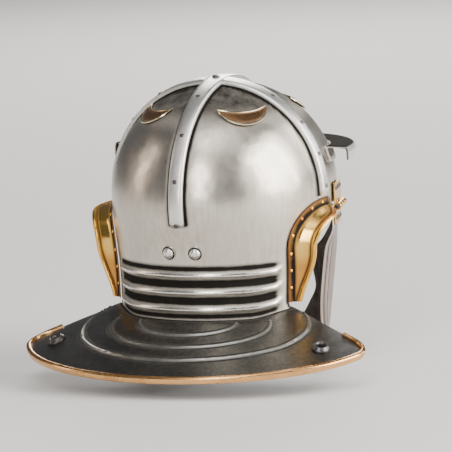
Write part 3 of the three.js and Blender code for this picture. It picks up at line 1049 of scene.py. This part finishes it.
def side_brace_point(side, angle):
    shrink = math.sqrt(1 - (Brace.side_line / Bowl.half_length) ** 2)
    return Vector((
        side * Bowl.half_width * shrink * math.cos(angle),
        Brace.side_line,
        Bowl.base + Bowl.dome * shrink * math.sin(angle),
    ))


def side_brace(side):
    start = (Brace.side_end - Bowl.base) / Bowl.dome
    crown = math.acos((Brace.half - 0.0003) / Bowl.half_width)
    ends = [start + a for a in (0, 0.006, 0.015, 0.03, 0.05, 0.08)]
    angles = ends + spaced(start + 0.12, crown, 34)
    points = [side_brace_point(side, angle) for angle in angles]
    stations = []
    for p in points:
        out = dome_normal(p)
        across = Vector((Bowl.base - p.z, 0, p.x)).cross(out).normalized()
        stations.append((p, out, across, (p - points[0]).length, brace_width(abs(p.x))))
    return brace_skin(stations)


# ---------- brow peak ----------
def brow_peak():
    """A strip folded twice and open below: a flange on the bowl, a ledge and an outer rim."""
    rings, marks = [], []
    half = Peak.sheet / 2
    for turn in spaced(Peak.end_turn, 360 - Peak.end_turn, 120):
        share = (min(turn, 360 - turn) - Peak.end_turn) / (180 - Peak.end_turn)
        out = lerp(Peak.end_reach, Peak.reach, smooth(share))
        flange = Peak.lift + half
        rim = out - half
        corners = (
            (flange, Peak.bottom), (flange, Peak.top - half),
            (rim, Peak.top - Peak.slope - half), (rim, Peak.bottom + half),
        )
        section = strip_section(corners, half, Peak.fold)
        rise = Peak.end_rise * (1 - share)
        ring = []
        for u, v in section:
            off = min(1, max(0, (u - flange - half) / (out - flange - half)))
            p = bowl_point(turn, v + rise, u).lerp(bowl_point(turn, Peak.bottom, u), off)
            p.z = v + rise
            ring.append(p)
            # Painted highlight on the outer rim; painted shade on the ledge's top and inside the rim, in
            # the dark colour.
            outer = smooth((u - out + 0.0016) / Peak.soft)
            above = (u > flange + half) * smooth((v - Peak.top + Peak.slope * off + 0.0014) / Peak.soft)
            inner = u > out - 1.3 * Peak.sheet
            peak_painted_shade = max(above, inner) * (1 - outer)
            marks.append((peak_painted_shade, Peak.shine * outer, peak_painted_shade))
        rings.append(ring)
    return swept(rings, marks)


# ---------- ear guards ----------
def ear_stations(side):
    """(point on the bowl's edge, way out, way inland, way of the flange, its reach, tangent)"""
    line = ear_line(side)
    stations = []
    for i, p in enumerate(line):
        path = path_at(line, i).normalized()
        out = Vector((p.x / Bowl.half_width ** 2, p.y / Bowl.half_length ** 2, 0)).normalized()
        inland = (out.cross(path) * side).normalized()
        lean = (Vector((side, 0, 0)) - inland * EarGuard.lean).normalized()
        start = smooth((p - line[0]).length / EarGuard.ease)
        foot = smooth((-Ear.arch - p.z) / (-Ear.arch - EarGuard.foot_level))
        reach = lerp(lerp(EarGuard.front_reach, EarGuard.reach, start), EarGuard.foot_reach, foot)
        stations.append((p, out, inland, lean, reach, path))
    return stations


def ear_guard(side):
    """A band on the bowl and a flange that stands out from it, with painted shade beside every fold."""
    rings, marks = [], []
    half = EarGuard.sheet / 2
    for p, out, inland, lean, reach, _ in ear_stations(side):
        heights = (half, 0.3 * reach, 0.55 * reach, reach - 0.0055, reach - 0.0035, reach - EarGuard.lift)
        corners = ((EarGuard.band, half), *((half, height) for height in heights))
        # The lower foot is darkened as painted shade.
        low = EarGuard.foot_painted_shade * smooth((-Ear.arch - p.z) / 0.016)
        ring = []
        for a, b in strip_section(corners, half, EarGuard.fold):
            share = smooth(b / 0.006)
            far = b + EarGuard.lift
            ring.append(moved(p, (inland, a), (out, far * (1 - share)), (lean, far * share)))
            on_band = a > EarGuard.band / 2
            # Painted shade in the folds, under the rolled edge and on the band; painted highlights in the
            # middle of the flange and on its rim.
            fold = EarGuard.fold_painted_shade * near(b - 0.002, 0.003)
            roll = EarGuard.roll_soot * near(b - reach + 0.0050, 0.0022)
            grime = max(EarGuard.band_painted_shade if on_band else fold, roll)
            middle = EarGuard.middle_painted_highlight * near(b - 0.4 * reach, 0.35 * reach) * (1 - low)
            rim = EarGuard.rim_painted_highlight * near(b - reach, 0.003)
            marks.append((grime, max(middle, rim), max(low, on_band)))
        rings.append(ring)
    return swept(rings, marks)


# ---------- binding, crescents, studs and bosses ----------
def rim_stations():
    """(point, way up, way out) round the corners and the rim of the neck guard."""
    half = [(Ear.back_turn, across) for across in spaced(Guard.bound_from, 1, 6)[:-1]]
    half += [(turn, 1) for turn in [60, 59.8, 59.4, 58.8, 58] + spaced(57, 0, 57)]
    keys = half + [(-turn, across) for turn, across in half[-2::-1]]
    points = [guard_point(turn, across) for turn, across in keys]
    middle = Vector((0, Bowl.half_length, Guard.tip_level))
    stations = []
    for i, (p, key) in enumerate(zip(points, keys)):
        up = guard_normal(*key)
        out = path_at(points, i).cross(up).normalized()
        if out.dot(p - middle) < 0:
            out.negate()
        stations.append((p, up, out))
    return stations


def lunate_skin(turn):
    """A crescent plate with its horns up and a raised rim all round."""
    middle = math.asin((Lunate.level - Bowl.base) / Bowl.dome)
    rows, columns = 72, 20
    points, marks = [], []
    for angle in spaced(-Lunate.horn, Lunate.horn, rows):
        taper = math.cos(angle / Lunate.horn * math.pi / 2)
        hollow = Lunate.belly * max(Lunate.horn_width, max(0, taper) ** 0.7)
        width = Lunate.radius * Lunate.squash * hollow
        for share in spaced(0, 1, columns):
            u = Lunate.radius * math.sin(angle)
            v = -Lunate.radius * Lunate.squash * (math.cos(angle) - share * hollow)
            climb = middle + v / Bowl.dome
            around = math.degrees(u / (Bowl.half_length * math.cos(climb)))
            foot = bowl_point(turn + around, dome_level(climb))
            below, above = share * width, (1 - share) * width
            # The raised rim gets a painted highlight and the line inside it a painted shade.
            rim = max(near(max(0, below - Lunate.rim), 0.0012), near(above - 0.0004, 0.0010))
            painted_groove_shade = max(near(below - 0.0032, 0.0010), near(above - 0.0018, 0.0010))
            out = dome_normal(foot)
            points.append(moved(foot, (out, Lunate.lift + Lunate.sheet + Lunate.rim_height * rim)))
            marks.append((Lunate.painted_groove_shade * painted_groove_shade, rim, 0))
    skin = Skin(points, grid_faces(rows + 1, columns + 1), marks)
    if skin.normals()[0].dot(dome_normal(points[0])) < 0:
        skin = skin.turned()
    return thickened(skin, Lunate.sheet, 1)


def stud_frame(side):
    place = (side * Stud.turn, Stud.across)
    up = guard_normal(*place)
    return moved(guard_point(*place), (up, Stud.lift)), up


def guard_stud(side):
    """A turned ring riveted to the neck guard."""
    base, up = stud_frame(side)
    turn = Vector((0, 0, 1)).rotation_difference(up)
    return looped([[base + turn @ on_circle(r, a, h) for r, h in Stud.section] for a in circle(48)])


def boss_frame(side):
    turn = math.degrees(math.asin(side * Boss.offset / Bowl.half_width))
    out = wall_normal(turn, Boss.level)
    return moved(bowl_point(turn, Boss.level), (out, Boss.lift)), out


def nape_boss(side):
    """A domed boss on a thin washer."""
    base, out = boss_frame(side)
    foot = Boss.washer[-1][1]
    dome = [(Boss.radius * math.cos(a), foot + Boss.rise * math.sin(a)) for a in spaced(0, 1.45, 8)]
    steps = 40
    skin = turned_about(base, out, Boss.washer + tuple(dome), steps)
    # Painted shade round the foot of the dome, on the washer.
    for i in range(2 * steps, 5 * steps):
        skin.marks[i] = (0.9, 0, 0)
    return skin


# ---------- hinges and cheek-pieces ----------
def hinge_frame(side):
    """Where a point lies that is given as (forward, out, up) from the brow edge at the hinge."""
    origin = bowl_point(side * Hinge.turn, 0)
    t = math.radians(Hinge.turn)
    forward = Vector((side * Bowl.half_width * math.cos(t), -Bowl.half_length * math.sin(t), 0))
    forward.normalize()
    out = Vector((-side * forward.y, side * forward.x, 0))
    return lambda u, n, w: moved(origin, (forward, u), (out, n), (Vector((0, 0, 1)), w))


def round_pin(radius, angle):
    """(out, up) of a point round the middle of the pin."""
    middle = Hinge.off + Hinge.barrel
    return middle + radius * math.cos(angle), Hinge.level + radius * math.sin(angle)


def slab(outline, inner, outer, place):
    """A flat plate of an outline of (forward, up), with its outer edges bevelled."""
    bevel = Hinge.bevel

    def ring(n, inset):
        points = []
        for i, p in enumerate(outline):
            before, after = Vector(outline[i - 1]), Vector(outline[(i + 1) % len(outline)])
            way = (after - before).normalized()
            side = Vector((way.y, -way.x))
            if inset:
                p = Vector(p) - side * inset
            points.append(place(p[0], n, p[1]))
        return points

    rings = [ring(inner, 0), ring(outer - bevel, 0), ring(outer - bevel * 0.3, bevel * 0.3)]
    rings += [ring(outer, bevel), ring(outer, bevel * 1.8)]
    size, last = len(outline), len(rings) - 1
    faces = grid_faces(len(rings), size, ring=True)
    faces += [tuple(range(size))[::-1], tuple(last * size + i for i in range(size))]
    # The bevels carry a painted highlight.
    marks = [(0, shine, 0) for shine in (0, 0.7, 0.7, 0.3, 0) for _ in outline]
    return Skin([p for r in rings for p in r], faces, marks).outward()


def rounded(corners, radius, steps=5):
    """An outline with rounded corners, going round once."""
    outline = []
    for i, corner in enumerate(corners):
        corner = Vector(corner)
        before, after = Vector(corners[i - 1]), Vector(corners[(i + 1) % len(corners)])
        start = corner + (before - corner).normalized() * radius
        end = corner + (after - corner).normalized() * radius
        outline += [start.lerp(corner, s).lerp(corner.lerp(end, s), s) for s in spaced(0, 1, steps)]
    return outline


def knuckle(start, end, place):
    """A rolled barrel of a hinge, open along its pin."""
    bevel = Hinge.bevel
    section = (
        (Hinge.bore, start), (Hinge.barrel - bevel, start), (Hinge.barrel, start + bevel),
        (Hinge.barrel, end - bevel), (Hinge.barrel - bevel, end), (Hinge.bore, end),
    )
    return looped([[place(u, *round_pin(r, a)) for r, u in section] for a in circle(36)])


def hinge_leaf(place, corners, *spans):
    """A flat leaf and its knuckles, each over a span of the pin."""
    plate = slab(rounded(corners, Hinge.corner), Hinge.off, Hinge.off + Hinge.leaf, place)
    return joined([plate, *(knuckle(start, end, place) for start, end in spans)])


def bowl_leaf(side):
    place = hinge_frame(side)
    start, top = Hinge.tongue + Hinge.gap, Hinge.level + Hinge.barrel + Hinge.clear
    half = Hinge.half
    corners = (
        (-half, Hinge.level), (-start, Hinge.level), (-start, top), (start, top),
        (start, Hinge.level), (half, Hinge.level), (half, Hinge.up), (-half, Hinge.up),
    )
    return hinge_leaf(place, corners, (-half, -start), (start, half))


def cheek_leaf(side):
    place = hinge_frame(side)
    tongue, wide = Hinge.tongue, Hinge.half - 0.001
    top = Hinge.level - Hinge.barrel - Hinge.clear
    corners = (
        (-wide, Hinge.down), (wide, Hinge.down), (wide, top), (tongue, top),
        (tongue, Hinge.level), (-tongue, Hinge.level), (-tongue, top), (-wide, top),
    )
    return hinge_leaf(place, corners, (-tongue, tongue))


def hinge_pin(side):
    place = hinge_frame(side)
    neck = Hinge.half + Hinge.gap
    profile = [(r, -neck - up) for r, up in Hinge.pin_head] + [(Hinge.pin, -neck)]
    profile += [(r, -u) for r, u in reversed(profile)]
    return swept([[place(u, *round_pin(r, a)) for a in circle(24)] for r, u in profile])


def spline_point(nodes, share):
    """A point of a smooth curve through nodes."""
    place = share * (len(nodes) - 1)
    i = min(int(place), len(nodes) - 2)
    t = place - i
    a, b, c, d = (Vector(nodes[min(max(i + k, 0), len(nodes) - 1)]) for k in (-1, 0, 1, 2))
    v, w = (c - a) / 2, (d - b) / 2
    return (2 * (b - c) + v + w) * t ** 3 + (3 * (c - b) - 2 * v - w) * t ** 2 + v * t + b


def cheek_depth(u, down):
    if u > 0:
        wrap = u ** 2 / Cheek.front_wrap
    else:
        wrap = u ** 2 / Cheek.rear_wrap * smooth((down - Cheek.leaf_end) / Cheek.ease)
    return -wrap - Cheek.slope * max(0, down - Cheek.leaf_end)


def cheek_plate(side, sizes):
    """A hinged cheek-piece with an embossed border."""
    place = hinge_frame(side)
    rows, columns = 96, 56
    grid = []
    for step in spaced(0, 1, rows):
        front, rear = spline_point(Cheek.front, step) / 1000, spline_point(Cheek.rear, step) / 1000
        grid.append([rear.lerp(front, share) for share in spaced(0, 1, columns)])
    outline = grid[0] + [row[-1] for row in grid] + grid[-1][::-1] + [row[0] for row in grid[::-1]]
    points, marks, lifts = [], [], []
    for row in grid:
        for p in row:
            from_edge = min((p - q).length for q in outline)
            off_border = from_edge - Cheek.border
            on_plate = smooth((p.y - Cheek.plain_end) / Cheek.plain_ease)
            border = Cheek.border_height * near(off_border, Cheek.border_half)
            panel = Cheek.panel_height * smooth((from_edge - Cheek.panel_from) / Cheek.panel_rise)
            lifts.append(on_plate * (border + panel))
            # Painted shade in the grooves beside the border; painted highlight on the edge and on the
            # border's crest.
            grime = 0.75 * on_plate * near(abs(off_border) - 0.0030, 0.0018)
            shine = max(near(from_edge, Cheek.sheet), 0.5 * near(off_border, 0.001))
            marks.append((grime, shine, 0))
            points.append(place(p.x, cheek_depth(p.x, p.y), -p.y))
    skin = Skin(points, grid_faces(rows + 1, columns + 1), marks)
    outside = place(0, 1, 0) - place(0, 0, 0)
    normals = skin.normals()
    if normals[len(points) // 2].dot(outside) < 0:
        skin = skin.turned()
        normals = [-way for way in normals]
    for i, way in enumerate(normals):
        beaten = sizes.hammer_depth * Hammer.cheek_share * noise.noise(points[i] * Hammer.cheek)
        points[i] = points[i] + way * (lifts[i] + beaten)
    return thickened(skin, Cheek.sheet)


# ---------- settings ----------
def length(title, text, default):
    return FloatProperty(name=title, description=text, default=default, min=0, precision=5, unit="LENGTH")


def tint(title, text, slot):
    return FloatVectorProperty(
        name=title, description=text, default=METALS[slot].colour, min=0, max=1, size=3, subtype="COLOR",
    )


class HelmetSizes(bpy.types.PropertyGroup):
    """Sizes of the worked detail."""

    hammer_depth: length("Hammer depth", "How deep the marks of the hammer are in the plates", 0.00022)
    ridge_height: length("Ridge height", "Height of the embossed ridges on the neck guard", 0.0017)
    rivet_radius: length("Rivet radius", "Radius of a full-size rivet head", 0.0021)
    rivet_height: length("Rivet height", "Height of a full-size rivet head over its plate", 0.0012)
    binding_width: length("Binding width", "Width of the brass folded over the guard's rim", 0.0070)
    binding_depth: length("Binding depth", "Thickness of the folded brass and the rim in it", 0.0050)
    bead_radius: length("Bead radius", "Radius of the rolled edge of an ear guard", 0.0016)


class HelmetColours(bpy.types.PropertyGroup):
    """Colours of the clean metals."""

    skull_iron: tint("Bowl", "Polished iron of the bowl", "skull_iron")
    brace_iron: tint("Braces", "Iron of the braces, brow peak and bosses", "brace_iron")
    cheek_iron: tint("Cheek-pieces", "Iron of the cheek-pieces", "cheek_iron")
    dark_iron: tint("Dark iron", "Iron of the rivets, pins and studs", "dark_iron")
    brass: tint("Brass", "Brass of the ear guards and hinges", "brass")
    brass_edging: tint("Binding", "Brass of the neck guard's binding", "brass_edging")
    bronze: tint("Bronze", "Bronze of the crescents", "bronze")


class HelmetStudio(bpy.types.PropertyGroup):
    """Where the camera stands and how bright the lights are."""

    distance: FloatProperty(
        name="Distance", description="From the camera to what it looks at", default=7.0, unit="LENGTH",
    )
    view_width: FloatProperty(
        name="View width", description="Width that the camera takes in", default=0.40, unit="LENGTH",
    )
    light: FloatProperty(name="Light", description="Strength of all the lights", default=1.0, min=0)
    turns: IntProperty(name="Floor corners", description="Corners of the round floor", default=96, min=12)


# ---------- one operator for each group of pieces ----------
class HELMET_OT_bowl(bpy.types.Operator):
    """Raise the bowl with its ribbed nape and embossed neck guard"""

    bl_idname = "helmet.bowl"
    bl_label = "Bowl"

    def execute(self, context):
        skin = bowl_skin(context.scene.helmet_sizes)
        make_piece(context, "iron_bowl", skin, "skull_iron", "shell", "bowl")
        return {"FINISHED"}


class HELMET_OT_braces(bpy.types.Operator):
    """Lay the crossing braces over the bowl"""

    bl_idname = "helmet.braces"
    bl_label = "Crossing braces"

    def execute(self, context):
        make_piece(context, "crown_brace", long_brace(), "brace_iron", "shell", "long_brace")
        for name, side in SIDES:
            piece, node = f"cross_brace_{name}", f"side_brace_{name}"
            make_piece(context, piece, side_brace(side), "brace_iron", "shell", node)
        return {"FINISHED"}


class HELMET_OT_brow_peak(bpy.types.Operator):
    """Fold the brow peak round the front of the bowl"""

    bl_idname = "helmet.brow_peak"
    bl_label = "Brow peak"

    def execute(self, context):
        make_piece(context, "folded_brow_peak", brow_peak(), "brace_iron", "shell", "brow_peak")
        return {"FINISHED"}


class HELMET_OT_ear_guards(bpy.types.Operator):
    """Fit the ear guards with their rolled edges"""

    bl_idname = "helmet.ear_guards"
    bl_label = "Ear guards"

    def execute(self, context):
        bead = context.scene.helmet_sizes.bead_radius
        tree = edging_tree()
        for name, side in SIDES:
            node = f"ear_guard_{name}"
            make_piece(context, f"ear_flange_{name}", ear_guard(side), "brass", "shell", node)
            stations = []
            line = ear_stations(side)
            for p, _, inland, lean, reach, path in line:
                edge = moved(p, (lean, reach - bead), (inland, EarGuard.sheet / 2))
                start = smooth((p - line[0][0]).length / EarGuard.ease * 3)
                stations.append((edge, path.cross(lean).normalized(), lerp(0.5, 1, start)))
            roll = grown(
                context, f"ear_flange_roll_{name}", tree, stations, "brass", chained=True,
                Width=2 * bead, Depth=2 * bead, Corner=bead,
            )
            settle(roll, "brass", "shell")
        return {"FINISHED"}


class HELMET_OT_binding(bpy.types.Operator):
    """Fold the brass binding round the rim of the neck guard"""

    bl_idname = "helmet.binding"
    bl_label = "Guard binding"

    def execute(self, context):
        sizes = context.scene.helmet_sizes
        stations = []
        for p, up, out in rim_stations():
            middle = moved(p, (up, -Bowl.wall / 2), (out, Binding.overhang - sizes.binding_width / 2))
            stations.append((middle, up, 1))
        binding = grown(
            context, "rim_binding", edging_tree(), stations, "brass_edging", chained=True,
            Width=sizes.binding_width, Depth=sizes.binding_depth, Corner=Binding.corner,
        )
        settle(binding, "brass_edging", "shell", "guard_binding")
        return {"FINISHED"}


class HELMET_OT_lunates(bpy.types.Operator):
    """Lay the four crescents between the braces"""

    bl_idname = "helmet.lunates"
    bl_label = "Crescents"

    def execute(self, context):
        for place, turn in Lunate.turns:
            for name, side in SIDES:
                piece, node = f"crescent_{place}_{name}", f"lunate_{place}_{name}"
                make_piece(context, piece, lunate_skin(side * turn), "bronze", "shell", node)
        return {"FINISHED"}


class HELMET_OT_bosses(bpy.types.Operator):
    """Set the ring studs on the neck guard and the bosses on the nape"""

    bl_idname = "helmet.bosses"
    bl_label = "Studs and bosses"

    def execute(self, context):
        pieces = (
            ("ring_stud", guard_stud, "dark_iron", "guard_stud"),
            ("domed_boss", nape_boss, "brace_iron", "nape_boss"),
        )
        for name, side in SIDES:
            for piece, skin_of, slot, node in pieces:
                make_piece(context, f"{piece}_{name}", skin_of(side), slot, "shell", f"{node}_{name}")
        return {"FINISHED"}


class HELMET_OT_hinges(bpy.types.Operator):
    """Make the leaves and pins of the cheek-piece hinges"""

    bl_idname = "helmet.hinges"
    bl_label = "Hinges"

    def execute(self, context):
        for name, side in SIDES:
            pieces = (
                ("upper_leaf", bowl_leaf, "brass", "shell", "bowl_leaf"),
                ("lower_leaf", cheek_leaf, "brass", f"cheek_{name}", "cheek_leaf"),
                ("turned_pin", hinge_pin, "dark_iron", "shell", "hinge_pin"),
            )
            for piece, skin_of, slot, body, node in pieces:
                make_piece(context, f"{piece}_{name}", skin_of(side), slot, body, f"{node}_{name}")
        return {"FINISHED"}


class HELMET_OT_cheek_pieces(bpy.types.Operator):
    """Shape the cheek-pieces with their embossed borders"""

    bl_idname = "helmet.cheek_pieces"
    bl_label = "Cheek-pieces"

    def execute(self, context):
        for name, side in SIDES:
            skin = cheek_plate(side, context.scene.helmet_sizes)
            body, node = f"cheek_{name}", f"cheek_plate_{name}"
            make_piece(context, f"cheek_guard_{name}", skin, "cheek_iron", body, node)
        return {"FINISHED"}


class HELMET_OT_rivets(bpy.types.Operator):
    """Drive the rivets of the braces, ear guards and hinges"""

    bl_idname = "helmet.rivets"
    bl_label = "Rivets"

    def execute(self, context):
        sizes = context.scene.helmet_sizes
        tree = rivet_tree()
        sets = [("brace_rivets", brace_rivets(), "dark_iron", "shell")]
        for name, side in SIDES:
            cheek = f"cheek_{name}"
            sets += [
                (f"ear_rivets_{name}", ear_rivets(side), "brass", "shell"),
                (f"upper_leaf_rivets_{name}", leaf_rivets(side, *Rivets.upper_leaf), "dark_iron", "shell"),
                (f"lower_leaf_rivets_{name}", leaf_rivets(side, *Rivets.lower_leaf), "dark_iron", cheek),
            ]
        values = {"Radius": sizes.rivet_radius, "Height": sizes.rivet_height}
        for name, stations, slot, body in sets:
            settle(grown(context, name, tree, stations, slot, **values), slot, body)
        return {"FINISHED"}


def brace_rivets():
    """(place, way out, size) of the rivets along the braces."""
    foots = []
    for turn, climbs in ((0, Rivets.back_of_brace), (180, Rivets.front_of_brace)):
        levels = [dome_level(math.radians(climb)) for climb in climbs]
        foots += [(bowl_point(turn, level), 1) for level in levels]
    for _, side in SIDES:
        foots += [(side_brace_point(side, math.radians(climb)), 1) for climb in Rivets.side_of_brace]
    stations = [(p, way_out(p), size) for p, size in foots]
    crown = (0, Brace.side_line, bowl_point(0, Bowl.base + Bowl.dome).z)
    stations.append((crown, Vector((0, 0, 1)), Rivets.crown_size))
    over = Brace.lift + Brace.height * 0.98
    return [(moved(p, (out, over)), out, size) for p, out, size in stations]


def ear_rivets(side):
    """Small rivets along the band of an ear guard."""
    stations = []
    travelled = 0
    line = ear_stations(side)
    for (p, _, _, _, _, _), (q, out, inland, _, _, _) in zip(line, line[1:]):
        travelled += (q - p).length
        if travelled > Rivets.ear_spacing:
            travelled = 0
            at = moved(q, (out, EarGuard.lift + EarGuard.sheet), (inland, Rivets.ear_inland))
            stations.append((at, out, Rivets.ear_size))
    return stations


def leaf_rivets(side, level, reach):
    place = hinge_frame(side)
    out = place(0, 1, 0) - place(0, 0, 0)
    return [(place(u, Hinge.off + Hinge.leaf, level), out, 1) for u in (-reach, 0, reach)]


# ---------- floor, lights and camera ----------
def plain_finish(name, colour, rough):
    made = bpy.data.materials.new(name)
    made.use_nodes = True
    shader = made.node_tree.nodes["Principled BSDF"]
    shader.inputs["Base Color"].default_value = (*colour, 1)
    shader.inputs["Roughness"].default_value = rough
    return made


def aimed(place, target, up=(0, 0, 1)):
    """The matrix of a camera or a light that looks from a place at a target."""
    back = (Vector(place) - Vector(target)).normalized()
    right = Vector(up).cross(back).normalized()
    turn = Matrix((right, back.cross(right), back)).transposed().to_4x4()
    return Matrix.Translation(place) @ turn


CAMERA_TARGET = Vector((0, 0, -0.022))
CAMERA_SIDE = Vector((-0.374, 0.917, 0.141))
CAMERA_UP = Vector((0.023, -0.143, 0.989))
SUN_AIM = (0.3, -0.5, -2)
SUN_STRENGTH = 0.7
SKY_COLOUR = (0.72, 0.76, 0.82, 1)
SKY_STRENGTH = 0.16
SUN_WIDTH = math.radians(40)
FLOOR_COLOUR = (0.80, 0.79, 0.77)
FLOOR_ROUGHNESS = 0.9
FLOOR_RADIUS = 40


# (name, place, strength in watts, width, height, colour)
LIGHTS = (
    ("key", (-2.5, -0.1, 1.1), 150, 2.2, 2.2, (1.0, 0.97, 0.93)),
    ("fill", (-0.26, 2.5, 1.1), 40, 0.55, 2.2, (0.99, 0.98, 0.96)),
    ("side", (2.5, 0.6, 0.9), 11, 0.5, 1.9, (1.0, 0.84, 0.70)),
    ("front", (0.8, -2.4, 1.2), 34, 0.8, 1.7, (1.0, 0.98, 0.96)),
    ("cheek", (-1.6, -2.0, 1.0), 18, 0.5, 1.7, (0.95, 0.97, 1.0)),
    ("top", (0.1, 1.1, 2.3), 5, 1.0, 1.0, (1.0, 1.0, 1.0)),
)


class HELMET_OT_studio(bpy.types.Operator):
    """Set the floor, the lights and the camera"""

    bl_idname = "helmet.studio"
    bl_label = "Studio"

    def execute(self, context):
        studio = context.scene.helmet_studio
        low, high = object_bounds()
        middle = (Vector(low) + Vector(high)) / 2
        self.lay_floor(context, low[2], studio.turns)
        for name, place, watts, width, height, colour in LIGHTS:
            light = bpy.data.lights.new(name, "AREA")
            light.shape = "RECTANGLE"
            light.size, light.size_y = width, height
            light.energy = watts * studio.light
            light.color = colour
            shown(context, name, light).matrix_world = aimed(place, middle)
        world = bpy.data.worlds.new("studio")
        world.use_nodes = True
        sky = world.node_tree.nodes["Background"]
        sky.inputs["Color"].default_value = SKY_COLOUR
        sky.inputs["Strength"].default_value = SKY_STRENGTH * studio.light
        context.scene.world = world
        sun = bpy.data.lights.new("daylight", "SUN")
        sun.energy = SUN_STRENGTH * studio.light
        sun.angle = SUN_WIDTH
        shown(context, "daylight", sun).matrix_world = aimed((0, 0, 0), SUN_AIM)
        self.set_camera(context, studio)
        return {"FINISHED"}

    def lay_floor(self, context, level, corners):
        rim = [on_circle(FLOOR_RADIUS, a, level - 0.001) for a in circle(corners)]
        mesh = bpy.data.meshes.new("floor")
        mesh.from_pydata(rim, [], [tuple(range(corners))])
        mesh.materials.append(plain_finish("floor_paper", FLOOR_COLOUR, FLOOR_ROUGHNESS))
        shown(context, "floor", mesh)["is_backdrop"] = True

    def set_camera(self, context, studio):
        place = CAMERA_TARGET + CAMERA_SIDE.normalized() * studio.distance
        lens = bpy.data.cameras.new("camera")
        lens.sensor_width = 36
        lens.lens = lens.sensor_width * studio.distance / studio.view_width
        lens.clip_end = 100
        camera = shown(context, "camera", lens)
        camera.matrix_world = aimed(place, CAMERA_TARGET, CAMERA_UP)
        context.scene.camera = camera


class HELMET_PT_sidebar(bpy.types.Panel):
    """Lists the helmet's settings and its pieces"""

    bl_idname = "HELMET_PT_sidebar"
    bl_label = "Legionary Helmet"
    bl_space_type = "VIEW_3D"
    bl_region_type = "UI"
    bl_category = "Helmet"

    def draw(self, context):
        for name, group in SETTINGS:
            box = self.layout.box()
            for setting in group.__annotations__:
                box.prop(getattr(context.scene, name), setting)
        for operator in OPERATORS:
            self.layout.operator(operator.bl_idname)


OPERATORS = (
    HELMET_OT_bowl,
    HELMET_OT_braces,
    HELMET_OT_brow_peak,
    HELMET_OT_ear_guards,
    HELMET_OT_binding,
    HELMET_OT_lunates,
    HELMET_OT_bosses,
    HELMET_OT_hinges,
    HELMET_OT_cheek_pieces,
    HELMET_OT_rivets,
    HELMET_OT_studio,
)
SETTINGS = (
    ("helmet_sizes", HelmetSizes),
    ("helmet_colours", HelmetColours),
    ("helmet_studio", HelmetStudio),
)


def register():
    for name, group in SETTINGS:
        bpy.utils.register_class(group)
        setattr(bpy.types.Scene, name, PointerProperty(type=group))
    for group in (*OPERATORS, HELMET_PT_sidebar):
        bpy.utils.register_class(group)


def unregister():
    for group in (HELMET_PT_sidebar, *reversed(OPERATORS)):
        bpy.utils.unregister_class(group)
    for name, group in reversed(SETTINGS):
        delattr(bpy.types.Scene, name)
        bpy.utils.unregister_class(group)


def main():
    register()
    for operator in OPERATORS:
        module, name = operator.bl_idname.split(".")
        getattr(getattr(bpy.ops, module), name)()
    boxes = {"cad": CAD_BOX, "visual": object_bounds()}
    {key: [list(corner) for corner in box] for key, box in boxes.items()}


if __name__ == "__main__":
    main()
